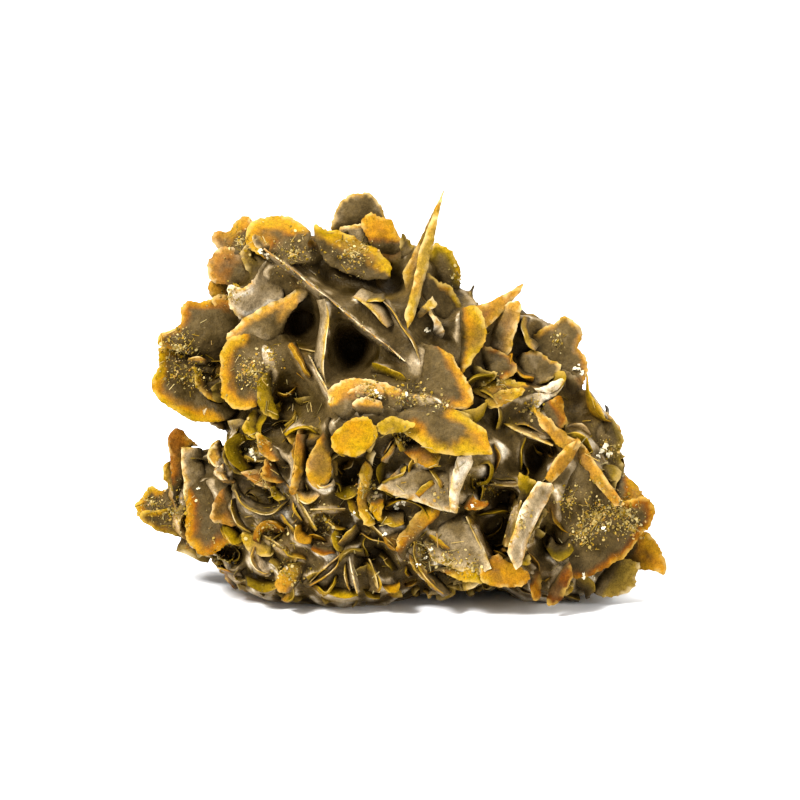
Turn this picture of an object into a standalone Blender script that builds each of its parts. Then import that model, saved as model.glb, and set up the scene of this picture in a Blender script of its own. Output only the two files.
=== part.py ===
"""A wulfenite specimen: thin tabular crystals grown through one another on a lumpy crystal mass.

The specimen is drawn facing its show side, in millimetres: across (to the right), up, and depth (away
from the one who looks at it). It is then leaned to the angle at which it rests, cut off flat below and
put with the middle of its base on the origin, +Z up, in metres.
"""

import math
import random

import bmesh
import bpy
from mathutils import Matrix, Vector

MM = 0.001
LEAN = math.radians(12)  # how far the show side faces up when the specimen rests
BASE_LEVEL = 0.6  # height of the base cut, once leaned
BASE_MIDDLE = (-0.12, 4.885)  # across and depth of the origin on the base cut

# The crystal mass under the blades: middle (across, up, depth) and radii of each lump.
LUMPS = {
    "heart": ((0.0, 18.0, 0.0), (22.0, 15.0, 14.0)),
    "upper_left": ((-14.0, 29.0, 0.0), (9.0, 9.0, 7.5)),
    "crown": ((-7.0, 40.0, 1.0), (12.0, 6.0, 5.5)),
    "saddle": ((1.0, 34.0, 0.0), (10.0, 7.0, 7.0)),
    "shoulder": ((14.0, 28.0, 1.0), (9.0, 8.0, 8.0)),
    "right": ((21.0, 15.5, -1.0), (6.8, 10.5, 9.0)),
    "lower_left": ((-20.0, 12.0, 2.0), (9.5, 7.0, 8.5)),
    "front_foot": ((-8.0, 5.8, -2.5), (14.5, 7.5, 11.5)),
    "right_foot": ((18.5, 6.0, -1.0), (8.5, 6.5, 10.5)),
    "back": ((0.0, 18.0, 9.0), (21.0, 15.0, 9.0)),
    "rear_foot": ((0.0, 8.0, 9.0), (19.0, 7.5, 9.5)),
}
LUMP_SUBDIVISIONS = 2

# Blades that show a face: thickness, depth of the middle, slopes of the depth across and up, outline.
PLATES = {
    "crown_crust": (1.3, -4.0, 0.0, 0.7, (
        (-19.0, 44.0), (-18.9, 46.5), (-17.5, 47.4), (-14.6, 48.0), (-12.5, 47.0), (-11.1, 45.4),
        (-11.6, 44.4), (-11.0, 42.3), (-13.8, 41.6), (-16.5, 42.6))),
    "crown_scale": (0.9, -3.6, 0.3, 0.4, (
        (-12.5, 45.2), (-10.3, 44.6), (-9.3, 43.5), (-9.4, 42.3), (-10.0, 41.5), (-12.0, 41.0),
        (-13.0, 43.0))),
    "corner_knobs_high": (1.5, -2.2, -0.3, 0.3, (
        (-23.3, 45.0), (-22.8, 46.1), (-21.5, 46.2), (-20.3, 47.4), (-18.3, 47.3), (-17.0, 44.5),
        (-18.0, 42.5), (-21.0, 43.5), (-22.5, 43.8))),
    "corner_knobs_low": (1.5, -2.5, -0.3, 0.2, (
        (-24.0, 40.6), (-24.0, 41.9), (-23.3, 42.8), (-22.5, 43.8), (-21.3, 44.1), (-19.6, 43.3),
        (-17.5, 41.5), (-17.0, 39.5), (-19.4, 38.8), (-22.3, 39.5), (-23.8, 40.0))),
    "corner_yellow_edge": (0.6, -4.6, 0.8, 0.0, (
        (-19.6, 43.3), (-18.9, 44.3), (-18.0, 43.0), (-17.4, 41.3), (-17.9, 40.1), (-18.9, 41.5))),
    "corner_beads": (1.6, -1.0, -0.2, 0.0, (
        (-23.8, 39.4), (-22.3, 40.2), (-19.0, 39.0), (-18.0, 36.5), (-21.3, 36.6), (-23.4, 38.0))),
    "pale_wall": (0.9, -5.2, 0.1, -0.4, (
        (-21.3, 39.3), (-19.4, 39.0), (-17.3, 41.0), (-15.6, 42.0), (-14.5, 39.4), (-15.0, 37.1),
        (-17.3, 35.9), (-19.4, 35.0), (-20.6, 35.9), (-21.4, 37.4))),
    "top_grey_plate": (1.2, 3.0, 0.1, -0.1, (
        (-8.6, 46.0), (-8.4, 47.8), (-7.9, 49.3), (-7.3, 50.1), (-6.0, 50.8), (-3.9, 51.0),
        (-2.9, 50.1), (-2.1, 48.5), (-1.6, 47.0), (-1.9, 44.6), (-3.8, 43.2), (-6.9, 43.4))),
    "crown_right_crust": (1.3, -0.6, 0.1, 0.5, (
        (-4.9, 47.1), (-3.8, 48.1), (-2.4, 47.5), (-1.1, 47.3), (0.1, 45.3), (0.8, 43.8),
        (0.3, 42.6), (-1.3, 42.0), (-3.0, 43.6), (-4.5, 45.6))),
    "crown_inner_wall": (0.9, -2.0, 0.2, 0.3, (
        (-7.8, 46.0), (-6.9, 46.6), (-4.4, 46.8), (-2.8, 45.4), (-1.5, 43.8), (-0.8, 41.5),
        (-0.5, 40.0), (-3.0, 40.5), (-6.5, 43.5))),
    "crown_mid_crust": (1.4, -4.0, 0.1, 0.6, (
        (-9.8, 43.0), (-10.9, 46.0), (-9.4, 46.1), (-7.5, 45.9), (-5.6, 45.5), (-3.3, 44.1),
        (-1.6, 42.3), (-1.1, 41.0), (-1.5, 39.5), (-4.0, 40.2), (-6.9, 41.2), (-8.4, 41.8))),
    "spike_left": (0.8, -6.6, -0.4, 0.16, (
        (5.6, 51.4), (3.8, 47.8), (2.5, 45.0), (1.2, 42.4), (0.3, 40.8), (0.9, 38.0),
        (2.3, 40.0), (3.0, 45.0), (4.4, 48.2))),
    "spike_right": (0.8, -6.1, 0.5, -0.2, (
        (5.6, 51.4), (5.1, 49.3), (4.6, 47.0), (4.2, 44.6), (3.6, 42.3), (3.0, 40.0), (2.4, 37.5),
        (1.8, 35.3), (0.9, 34.4), (0.2, 35.5), (1.4, 39.0), (2.4, 43.8), (4.2, 48.4))),
    "blade_behind_spike": (1.1, 1.5, 0.2, 0.1, (
        (3.7, 42.5), (4.3, 44.6), (5.5, 44.2), (6.5, 43.3), (7.4, 41.5), (7.6, 40.3), (7.3, 38.0),
        (6.0, 36.0), (3.8, 36.5))),
    "saddle_wall": (1.0, -5.5, 0.5, 0.3, (
        (1.3, 39.0), (3.0, 40.6), (4.5, 39.5), (6.1, 39.0), (7.2, 37.6), (7.7, 36.0), (7.0, 33.8),
        (5.0, 33.2), (3.0, 34.6), (1.8, 36.5))),
    "yellow_fin": (1.0, -8.6, -0.6, 0.1, (
        (7.8, 36.4), (9.0, 36.9), (9.7, 36.3), (10.2, 35.0), (10.4, 33.4), (10.1, 31.8),
        (9.2, 30.2), (7.9, 28.0), (7.1, 30.0), (6.4, 32.2), (6.3, 34.6))),
    "book_left": (0.9, -5.2, 0.1, 0.4, (
        (9.4, 36.6), (11.4, 37.3), (13.1, 38.3), (15.4, 39.4), (14.9, 38.4), (13.1, 36.3),
        (11.3, 34.4), (10.0, 33.2), (9.2, 35.0))),
    "book_right": (0.9, -5.4, -0.6, 0.2, (
        (13.2, 37.0), (14.5, 37.3), (14.9, 36.5), (14.4, 34.6), (13.6, 31.6), (12.6, 30.0),
        (10.6, 30.6), (10.2, 32.6), (11.6, 35.2))),
    "book_foot": (0.9, -2.0, 0.3, 0.2, (
        (13.4, 33.6), (14.8, 32.9), (16.3, 31.9), (16.5, 30.0), (13.1, 29.3), (12.2, 31.5))),
    "right_wing": (1.3, 2.0, 0.15, 0.1, (
        (14.6, 30.8), (16.3, 32.4), (17.0, 33.4), (19.1, 34.4), (20.0, 35.3), (21.3, 35.0),
        (22.4, 33.9), (22.6, 32.8), (22.3, 31.5), (23.3, 30.2), (22.8, 26.8), (20.5, 25.5),
        (17.0, 26.5))),
    "shadow_petal": (0.9, -3.8, 0.3, 0.4, (
        (14.2, 29.8), (14.9, 30.6), (16.0, 30.9), (17.5, 30.8), (18.8, 30.1), (19.9, 28.9),
        (18.8, 27.6), (16.6, 26.6), (14.6, 27.4))),
    "white_tongue": (0.8, -7.2, 0.3, 0.4, (
        (15.2, 25.2), (16.9, 26.3), (18.5, 27.1), (20.3, 27.6), (20.4, 26.7), (19.3, 25.6),
        (17.6, 24.4), (16.3, 23.2), (15.2, 23.8))),
    "lens_back": (0.9, -8.6, 0.1, 0.6, (
        (8.8, 26.3), (10.3, 27.0), (13.1, 27.9), (14.4, 27.3), (17.0, 26.5), (18.4, 26.3),
        (16.5, 25.0), (14.0, 24.6), (11.5, 25.0), (9.5, 25.6))),
    "lens_front": (0.9, -10.2, 0.0, 0.5, (
        (10.5, 24.9), (11.3, 25.8), (12.6, 26.4), (14.2, 26.5), (15.4, 26.1), (14.0, 25.0),
        (12.5, 24.3), (11.2, 24.2))),
    "rimmed_scale": (0.9, -6.6, 0.0, 0.4, (
        (9.6, 31.2), (10.4, 31.6), (12.8, 30.9), (13.9, 30.1), (14.6, 28.9), (13.1, 27.4),
        (11.3, 27.4), (9.2, 28.8))),
    "shoulder_slope": (1.2, -1.6, 0.5, 0.1, (
        (19.6, 28.6), (22.2, 27.8), (22.9, 26.3), (23.8, 24.8), (25.0, 23.8), (26.6, 22.5),
        (27.3, 21.0), (25.6, 19.8), (22.6, 20.8), (20.0, 23.6))),
    "right_knuckles": (1.5, 0.0, 0.2, -0.1, (
        (23.2, 22.2), (26.0, 22.7), (27.3, 21.3), (27.9, 19.8), (27.4, 18.4), (27.8, 16.5),
        (26.9, 15.0), (24.0, 15.3), (22.8, 18.8))),
    "v_upper_arm": (1.0, -9.8, 0.2, 0.6, (
        (16.6, 24.0), (18.5, 22.6), (21.0, 20.6), (22.4, 20.0), (21.3, 18.8), (19.6, 19.4),
        (17.4, 21.8))),
    "v_left_leg": (1.0, -11.6, 0.6, 0.2, (
        (22.2, 20.2), (22.4, 19.4), (21.3, 17.6), (19.8, 15.8), (18.6, 14.6), (17.9, 15.3),
        (18.9, 17.4), (20.6, 19.4))),
    "v_right_leg": (1.0, -10.6, -0.3, 0.3, (
        (22.0, 20.3), (22.9, 19.3), (25.3, 15.6), (27.8, 12.1), (26.6, 11.8), (24.0, 14.8),
        (21.4, 17.6))),
    "druse_plate": (1.3, -9.4, 0.25, -0.1, (
        (19.4, 16.5), (20.8, 17.5), (22.0, 17.3), (24.6, 14.8), (27.5, 12.6), (30.0, 13.1),
        (31.4, 11.8), (31.3, 10.0), (30.0, 8.1), (27.8, 5.6), (25.0, 4.0), (21.9, 2.8),
        (20.2, 5.0), (19.2, 9.0), (18.6, 14.0))),
    "druse_plate_flap": (0.9, -7.4, 0.3, 0.5, (
        (25.2, 15.4), (27.8, 15.4), (29.0, 14.9), (30.0, 13.8), (31.4, 11.8), (29.6, 11.0),
        (26.4, 12.4))),
    "tail_petal": (0.9, -4.2, 0.1, 0.2, (
        (25.0, 7.4), (28.3, 8.0), (30.4, 8.5), (31.4, 7.8), (32.4, 6.5), (33.1, 4.1), (32.7, 3.1),
        (31.3, 3.7), (28.5, 4.4), (25.0, 4.6))),
    "pale_foot_lump": (2.4, -5.5, 0.2, 0.1, (
        (23.6, 2.4), (25.0, 4.4), (27.0, 5.2), (29.6, 4.8), (29.2, 3.1), (29.1, 1.6), (27.0, 0.6),
        (24.6, 0.6))),
    "foot_brown_blade": (0.9, -12.4, -0.4, 0.3, (
        (18.4, -0.4), (18.1, 1.9), (18.8, 3.8), (20.0, 5.0), (21.2, 4.7), (21.4, 3.0), (20.6, 1.6),
        (19.6, 0.4))),
    "foot_orange_blade": (0.8, -12.2, 0.8, 0.1, (
        (16.4, 0.2), (16.0, 1.9), (16.4, 3.8), (17.1, 5.5), (17.4, 3.1), (17.2, 0.6))),
    "white_rib": (1.1, -14.6, 0.7, 0.3, (
        (16.9, 14.9), (18.6, 14.7), (18.9, 14.0), (18.1, 12.3), (16.3, 8.8), (15.5, 6.9),
        (14.9, 4.6), (14.2, 4.1), (13.1, 6.3), (13.6, 7.8), (14.8, 11.4))),
    "rib_petal": (0.9, -15.2, 0.2, 0.4, (
        (14.3, 15.8), (15.5, 15.4), (16.6, 14.8), (17.4, 13.4), (17.4, 12.0), (16.4, 11.2),
        (15.3, 12.2), (14.6, 13.8))),
    "centre_crust": (1.4, -16.2, -0.1, 0.45, (
        (-8.8, 26.1), (-7.6, 27.0), (-5.9, 27.6), (-3.8, 27.5), (-1.5, 27.0), (0.3, 26.0),
        (0.2, 24.4), (-1.9, 23.3), (-5.0, 22.6), (-7.8, 23.3), (-8.8, 24.6))),
    "crust_scale_high": (0.9, -17.0, 0.0, 0.3, (
        (-6.5, 25.9), (-4.9, 26.9), (-2.8, 26.9), (-1.9, 25.9), (-2.6, 24.7), (-5.3, 24.9))),
    "crust_scale_low": (0.9, -17.5, 0.0, 0.3, (
        (-5.8, 24.3), (-4.9, 25.1), (-3.5, 25.3), (-2.2, 24.7), (-2.4, 23.6), (-3.7, 23.0),
        (-5.2, 23.4))),
    "centre_slab": (1.5, -16.6, 0.0, 0.45, (
        (-1.8, 24.0), (-0.5, 25.4), (1.3, 25.9), (3.1, 25.8), (5.0, 24.8), (6.5, 23.7),
        (8.3, 23.4), (9.8, 22.4), (11.3, 20.4), (11.5, 18.1), (6.9, 18.2), (5.0, 18.8),
        (3.0, 19.2), (2.3, 20.4), (0.4, 21.0), (-1.0, 22.2))),
    "centre_oval": (1.2, -18.2, 0.0, 0.25, (
        (-8.6, 19.9), (-8.0, 21.0), (-7.1, 21.9), (-6.0, 22.5), (-4.8, 22.8), (-3.8, 22.5),
        (-3.0, 21.3), (-2.8, 20.3), (-3.5, 19.3), (-4.4, 18.5), (-5.6, 17.9), (-6.7, 18.2),
        (-8.2, 18.7))),
    "centre_lens": (0.9, -18.0, 0.0, 0.4, (
        (-3.1, 21.4), (-2.3, 22.5), (-1.0, 23.0), (0.4, 22.6), (1.9, 22.0), (0.6, 21.3),
        (-1.0, 21.1), (-2.3, 20.8))),
    "under_slab": (0.9, -15.2, 0.0, 0.5, (
        (-0.3, 20.8), (2.0, 20.4), (4.8, 18.9), (5.0, 17.6), (4.4, 16.7), (3.1, 16.9), (1.6, 17.8),
        (0.2, 19.0))),
    "left_tongue": (1.4, -17.8, 0.5, 0.1, (
        (-8.6, 22.7), (-9.2, 21.2), (-10.2, 19.6), (-11.0, 18.0), (-11.2, 16.3), (-11.0, 15.0),
        (-9.9, 14.1), (-8.8, 14.7), (-8.3, 15.9), (-8.5, 19.0), (-7.8, 21.3), (-7.8, 22.7))),
    "grey_sheet": (0.9, -14.6, 0.0, -0.1, (
        (-2.8, 14.1), (-1.2, 15.6), (0.4, 17.0), (2.8, 17.6), (6.0, 17.8), (7.4, 16.4), (7.0, 13.6),
        (6.9, 11.1), (5.0, 11.4), (2.5, 12.3), (0.0, 13.0))),
    "white_corner": (0.9, -15.4, 0.8, 0.0, (
        (7.1, 18.0), (8.8, 18.2), (9.0, 17.3), (8.3, 15.8), (7.6, 14.5), (7.2, 12.8), (7.1, 11.0),
        (6.2, 11.2), (6.1, 13.1), (6.4, 15.6))),
    "lower_arc": (1.0, -13.6, 0.1, 0.3, (
        (-0.5, 6.2), (-0.4, 7.5), (0.4, 8.9), (1.2, 10.1), (2.2, 11.1), (3.6, 11.8), (5.0, 11.4),
        (4.2, 10.0), (2.6, 8.6), (1.6, 6.4), (0.4, 5.4))),
    "lower_fan": (0.9, -13.0, 0.0, 0.2, (
        (3.4, 10.6), (5.6, 11.4), (7.3, 11.2), (8.2, 10.6), (9.3, 8.8), (10.3, 6.9), (11.3, 4.1),
        (9.8, 3.3), (7.2, 3.9), (4.0, 5.2), (2.8, 7.8))),
    "fan_rim": (0.9, -13.8, 0.0, 0.5, (
        (4.0, 5.5), (5.6, 4.9), (8.0, 4.2), (10.4, 3.4), (10.6, 2.7), (8.8, 2.4), (6.6, 3.2),
        (4.4, 4.2))),
    "bottom_orange": (1.1, -13.8, 0.1, 0.4, (
        (10.2, 4.6), (11.9, 6.0), (13.1, 5.2), (15.3, 4.1), (16.1, 3.1), (15.3, 2.2), (13.5, 1.9),
        (11.6, 2.0), (9.9, 2.8))),
    "curled_fin": (0.7, -13.6, 0.8, 0.0, (
        (1.3, 7.6), (2.1, 6.9), (2.6, 5.3), (3.6, 3.4), (4.6, 1.5), (3.7, 1.8), (2.4, 3.5),
        (1.5, 5.2))),
    "far_left_tip": (1.6, 2.4, -0.1, 0.2, (
        (-33.3, 11.8), (-32.5, 12.6), (-31.3, 14.1), (-30.0, 13.7), (-27.8, 13.6), (-25.5, 12.0),
        (-26.5, 9.6), (-30.0, 9.8), (-32.6, 10.8))),
    "tip_underside": (1.4, 0.6, 0.1, -0.2, (
        (-32.9, 11.1), (-30.0, 11.2), (-26.5, 11.0), (-25.0, 9.0), (-26.0, 7.6), (-28.1, 7.9),
        (-30.2, 8.7), (-32.0, 9.8))),
    "left_upright": (1.1, -2.6, 0.4, 0.0, (
        (-28.7, 20.9), (-27.9, 21.4), (-27.0, 21.1), (-26.4, 20.3), (-25.2, 19.4), (-26.6, 18.6),
        (-26.3, 15.6), (-25.6, 11.9), (-27.2, 11.7), (-28.3, 14.0), (-28.6, 16.9), (-28.9, 19.4))),
    "left_ear": (0.9, -1.4, 0.2, 0.0, (
        (-29.6, 15.3), (-29.6, 16.6), (-29.0, 17.3), (-27.8, 17.3), (-27.4, 14.8), (-28.3, 13.6),
        (-29.0, 14.4))),
    "left_pale_sheet": (0.9, -3.8, 0.2, 0.1, (
        (-27.3, 19.1), (-24.6, 19.1), (-23.2, 18.0), (-22.6, 16.0), (-24.0, 13.6), (-26.4, 11.6),
        (-27.0, 12.8), (-26.9, 15.0), (-27.3, 17.3))),
    "left_big_petal": (1.2, -6.6, -0.4, 0.1, (
        (-26.8, 11.2), (-26.4, 13.4), (-25.4, 14.6), (-24.3, 15.3), (-22.6, 15.2), (-21.8, 12.4),
        (-21.0, 9.6), (-21.1, 7.5), (-22.3, 6.4), (-23.8, 5.6), (-25.0, 6.2), (-26.3, 7.5),
        (-26.9, 9.2))),
    "left_peach_petal": (1.0, -8.4, 0.2, 0.2, (
        (-23.6, 11.4), (-22.8, 12.9), (-21.9, 14.0), (-20.7, 14.8), (-19.6, 14.0), (-19.8, 11.5),
        (-19.8, 9.4), (-21.9, 9.6), (-23.4, 9.9))),
    "left_low_petal": (0.9, -8.0, 0.1, 0.2, (
        (-22.3, 8.9), (-21.2, 9.9), (-19.4, 9.2), (-18.8, 7.4), (-20.3, 6.9), (-21.6, 7.6))),
    "left_yellow_ear": (0.9, -6.2, 0.2, 0.2, (
        (-23.9, 18.1), (-23.4, 19.5), (-22.5, 19.9), (-21.4, 19.2), (-21.2, 17.6), (-22.6, 16.6),
        (-23.6, 17.2))),
    "left_pink_ear": (0.9, -7.6, 0.2, 0.2, (
        (-23.0, 16.2), (-22.3, 17.2), (-21.3, 17.7), (-20.2, 16.8), (-20.0, 15.0), (-21.5, 14.6),
        (-22.6, 15.3))),
    "front_rib": (1.2, -11.6, 0.1, 0.5, (
        (-15.4, 1.9), (-15.1, 3.2), (-14.4, 4.2), (-13.1, 5.1), (-11.5, 5.9), (-9.7, 6.3),
        (-10.2, 5.2), (-11.6, 4.0), (-12.6, 2.6), (-13.6, 1.2), (-14.9, 0.9))),
    "striped_edge": (0.9, -11.0, 0.1, 0.8, (
        (-19.7, 16.0), (-18.1, 16.4), (-16.0, 16.3), (-13.6, 14.9), (-13.0, 13.8), (-15.6, 13.9),
        (-17.8, 14.5))),
    "white_rim_petal": (0.8, -10.2, 0.2, 0.2, (
        (-18.2, 6.2), (-17.3, 6.9), (-16.2, 6.2), (-15.6, 4.6), (-16.3, 3.1), (-17.3, 3.6),
        (-18.0, 4.8))),
    "yellow_streak": (0.8, -10.4, 0.1, 0.3, (
        (-19.7, 8.2), (-18.8, 8.9), (-17.0, 8.0), (-15.6, 6.4), (-16.2, 5.6), (-18.2, 6.2),
        (-19.2, 7.0))),
    "upright_bar": (0.9, -14.2, 0.7, 0.1, (
        (-12.6, 21.4), (-11.7, 21.5), (-11.4, 20.0), (-12.0, 17.0), (-12.5, 14.8), (-13.0, 13.4),
        (-13.6, 14.0), (-13.2, 17.2))),
    "cross_leaf": (0.9, -13.6, 0.0, 0.4, (
        (-14.1, 20.9), (-12.8, 21.4), (-11.3, 21.6), (-9.7, 21.1), (-9.9, 19.2), (-11.4, 18.5),
        (-13.2, 19.3))),
    "pit_wall": (0.9, -11.6, 0.8, 0.1, (
        (-8.5, 36.0), (-7.5, 35.6), (-7.2, 33.1), (-7.6, 30.6), (-8.2, 27.8), (-9.4, 28.4),
        (-9.4, 30.6), (-8.9, 34.0))),
    "olive_face": (0.9, -9.8, 0.3, 0.4, (
        (-8.6, 37.6), (-6.0, 37.8), (-4.6, 37.1), (-3.2, 36.0), (-1.9, 34.7), (-0.8, 33.0),
        (0.1, 30.4), (-2.2, 31.4), (-5.0, 33.8), (-7.6, 36.2))),
    "brown_face": (0.9, -10.4, 0.6, 0.2, (
        (-1.9, 37.4), (-0.9, 36.3), (1.0, 32.8), (2.0, 31.0), (3.1, 28.9), (1.5, 28.2),
        (-0.3, 30.6), (-1.4, 34.0))),
    "mauve_petal": (1.1, -12.0, 0.1, 0.35, (
        (2.8, 31.8), (4.5, 31.6), (6.3, 30.4), (7.3, 29.0), (8.2, 27.5), (8.9, 25.8), (8.8, 24.3),
        (7.6, 23.6), (4.5, 24.4), (1.8, 26.2), (0.8, 28.8), (1.4, 30.8))),
    "shield": (1.2, -6.6, -0.1, 0.45, (
        (-21.4, 32.2), (-20.5, 33.9), (-19.0, 35.3), (-17.3, 36.4), (-15.4, 37.3), (-13.8, 38.0),
        (-11.5, 38.8), (-9.8, 37.8), (-8.3, 36.0), (-8.5, 33.6), (-10.5, 31.6), (-14.4, 30.6),
        (-18.4, 30.6))),
    "left_petal": (1.2, -9.0, -0.3, 0.1, (
        (-22.4, 30.0), (-22.2, 31.4), (-21.3, 32.3), (-20.0, 32.8), (-18.1, 33.1), (-16.5, 32.1),
        (-15.4, 30.6), (-15.2, 28.6), (-15.8, 26.4), (-17.2, 24.6), (-19.0, 23.7), (-20.6, 24.0),
        (-21.6, 25.0), (-22.3, 27.0))),
    "olive_band": (0.9, -10.6, 0.3, 0.0, (
        (-17.6, 25.6), (-17.5, 27.3), (-16.6, 28.5), (-15.0, 28.7), (-15.7, 27.3), (-15.6, 25.0),
        (-15.2, 22.8), (-16.5, 23.0), (-17.4, 24.2))),
    "ochre_leaf": (0.9, -9.8, 0.2, 0.1, (
        (-19.5, 21.4), (-19.0, 22.6), (-18.1, 23.8), (-17.0, 24.5), (-16.7, 23.0), (-17.0, 21.4),
        (-17.6, 20.3), (-18.8, 20.6))),
    "brown_leaf": (0.9, -10.4, 0.1, 0.3, (
        (-17.7, 20.2), (-17.0, 20.6), (-15.8, 19.8), (-14.4, 19.2), (-13.6, 17.4), (-14.3, 16.9),
        (-16.0, 17.3), (-17.1, 18.4))),
    "crescent": (0.9, -8.4, 0.4, 0.0, (
        (-21.9, 18.4), (-21.2, 20.0), (-19.6, 21.6), (-19.4, 20.6), (-19.6, 18.2), (-19.4, 15.9),
        (-20.6, 16.0), (-21.6, 17.2))),
    "left_wing_upper": (1.3, -0.8, 0.1, 0.1, (
        (-27.3, 34.8), (-27.3, 36.5), (-26.5, 37.3), (-25.0, 37.3), (-23.5, 37.6), (-21.6, 37.3),
        (-19.0, 35.0), (-18.5, 31.0), (-24.4, 30.2), (-27.6, 31.2), (-30.3, 31.8), (-29.8, 33.1),
        (-28.5, 33.7))),
    "left_wing_lower": (1.2, -2.6, 0.15, 0.1, (
        (-31.0, 27.3), (-30.1, 29.0), (-30.3, 31.2), (-28.0, 31.6), (-24.0, 31.4), (-19.5, 30.0),
        (-19.0, 25.0), (-20.6, 23.0), (-22.8, 22.0), (-24.4, 22.0), (-26.3, 22.4), (-27.8, 23.3),
        (-29.2, 24.1), (-30.5, 25.4))),
    "wing_fin": (0.9, -3.2, 0.5, 0.3, (
        (-25.9, 29.2), (-25.0, 28.4), (-23.6, 27.3), (-22.0, 25.2), (-22.4, 24.5), (-24.0, 25.4),
        (-25.4, 26.9))),
    "wing_pale_petal": (0.9, -2.5, 0.2, 0.2, (
        (-24.6, 23.5), (-22.8, 24.0), (-20.6, 23.2), (-20.6, 21.8), (-22.2, 21.3), (-23.8, 22.2))),
    "wing_wedge": (0.9, -1.6, 0.2, 0.4, (
        (-23.5, 37.7), (-21.8, 38.0), (-20.0, 36.6), (-19.6, 34.6), (-21.6, 35.0), (-23.0, 36.4))),
    "tall_yellow_bar": (0.9, -14.8, 0.7, 0.0, (
        (-4.9, 16.3), (-4.3, 17.4), (-3.6, 16.8), (-3.6, 15.0), (-3.8, 12.5), (-3.5, 9.9),
        (-4.5, 9.7), (-4.9, 11.9), (-5.1, 14.4))),
    "gold_facet": (0.9, -8.0, 0.3, 0.3, (
        (17.4, 24.4), (18.8, 25.1), (20.1, 25.6), (20.4, 23.8), (20.6, 22.2), (19.3, 21.2),
        (18.2, 22.6))),
}

# Blades seen on edge: thickness, the two ends of the edge (across, up, depth), the way back into the
# mass, and how far the edge bulges forwards.
RIDGES = {
    "long_edge": (1.2, (-16.9, 43.9, -7.5), (0.6, 29.8, -12.5), (-1.2, -2.2, 6.5), 1.6),
    "web_edge": (0.7, (-11.4, 30.7, -10.5), (-8.3, 24.8, -15.5), (-0.6, -0.8, 5.0), 0.6),
    "web_brow": (0.7, (-13.0, 31.6, -9.5), (-9.5, 30.6, -11.0), (0.2, -1.2, 4.5), 0.4),
    "lower_diagonal": (0.8, (-13.6, 14.2, -12.5), (-10.2, 9.0, -14.0), (-0.8, -0.9, 4.5), 0.5),
    "left_diagonal": (0.8, (-18.2, 9.1, -10.2), (-12.7, 5.3, -12.8), (-0.8, -1.2, 4.5), 0.5),
    "thin_needle": (0.4, (-11.1, 11.5, -14.4), (-6.8, 11.6, -14.8), (0.1, -0.4, 3.0), 0.2),
    "right_needle": (0.6, (-3.7, 9.9, -14.2), (-0.2, 6.4, -13.6), (-0.6, -0.7, 4.0), 0.3),
    "low_left_edge": (0.7, (-11.2, 2.4, -12.4), (-6.8, 6.5, -13.6), (0.9, -0.9, 4.0), 0.4),
    "pale_stub": (0.8, (-6.4, 5.8, -13.4), (-5.4, 1.1, -13.0), (0.6, 0.2, 3.5), 0.4),
    "stub_right": (0.8, (-3.9, 5.4, -13.2), (-2.4, 1.2, -12.6), (-0.9, 0.3, 3.5), 0.6),
    "rib_edge": (0.5, (15.0, 12.6, -14.8), (13.4, 6.8, -14.6), (-0.8, 0.2, 4.5), 0.3),
    "pit_lip": (0.8, (12.8, 22.0, -9.0), (18.9, 19.4, -11.0), (0.3, 0.9, 4.0), 0.8),
    "pit_floor_edge": (0.7, (11.0, 14.6, -12.0), (15.2, 14.4, -13.6), (0.2, 1.0, 4.0), 0.5),
    "fan_edge": (0.6, (8.2, 10.6, -13.2), (11.2, 4.2, -13.4), (0.9, 0.4, 4.0), 0.2),
}

# Blades over the back, the ends and the top, spread evenly where the mass would show bare.
SITES_PER_LUMP = 300
SITE_SPACING = 8.1
BACK_LENGTH = (9.0, 13.5)
BACK_BREADTH = (7.0, 10.5)
BACK_THICKNESS = (0.9, 1.4)
BACK_CORNERS = 6
LYING_SHARE = 0.5  # of these blades lie along the mass; the others stand out of it
BACK_SEED = 31
SUPPORT_THICKNESS = 1.2
SUPPORT_REACH = 2.0  # how far a support runs into the mass


def front_of_mass(across, up):
    """Depth of the crystal mass's front at a place on the show side, or None beyond its edge."""
    found = None
    for middle, radii in LUMPS.values():
        left = 1 - ((across - middle[0]) / radii[0]) ** 2 - ((up - middle[1]) / radii[1]) ** 2
        if left > 0:
            depth = middle[2] - radii[2] * math.sqrt(left)
            found = depth if found is None else min(found, depth)
    return found


def height_at_rest(point):
    """Height of a place above the base cut, once the specimen is leaned."""
    return point[1] * math.cos(LEAN) - point[2] * math.sin(LEAN) - BASE_LEVEL


def bare_sites():
    """Places on the mass's outside, with the way out, which the show side's blades leave bare."""
    found = []
    for name, (middle, radii) in LUMPS.items():
        others = [values for other, values in LUMPS.items() if other != name]
        for number in range(SITES_PER_LUMP):
            height = 1 - 2 * (number + 0.5) / SITES_PER_LUMP
            turn = number * math.pi * (3 - math.sqrt(5))
            level = math.sqrt(1 - height * height)
            unit = (level * math.cos(turn), height, level * math.sin(turn))
            place = Vector(middle[i] + radii[i] * unit[i] for i in range(3))
            out = Vector(unit[i] / radii[i] for i in range(3)).normalized()
            inside = any(
                sum(((place[i] - m[i]) / r[i]) ** 2 for i in range(3)) < 1.03 for m, r in others
            )
            facing = out.z < -0.25
            crowded = any((place - other).length < SITE_SPACING for other, _ in found)
            if not (inside or facing or crowded) and height_at_rest(place) > 2.5:
                found.append((place, out))
    return found


def slab(points, normal, thickness):
    """A flat crystal: a polygon in space, as thick as given along its normal. Returns a mesh."""
    bm = bmesh.new()
    lower = [bm.verts.new(p - normal * (thickness / 2)) for p in points]
    face = bm.faces.new(lower)
    made = bmesh.ops.extrude_face_region(bm, geom=[face])
    upper = [v for v in made["geom"] if isinstance(v, bmesh.types.BMVert)]
    bmesh.ops.translate(bm, verts=upper, vec=normal * thickness)
    bmesh.ops.recalc_face_normals(bm, faces=bm.faces)
    return bm


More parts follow.
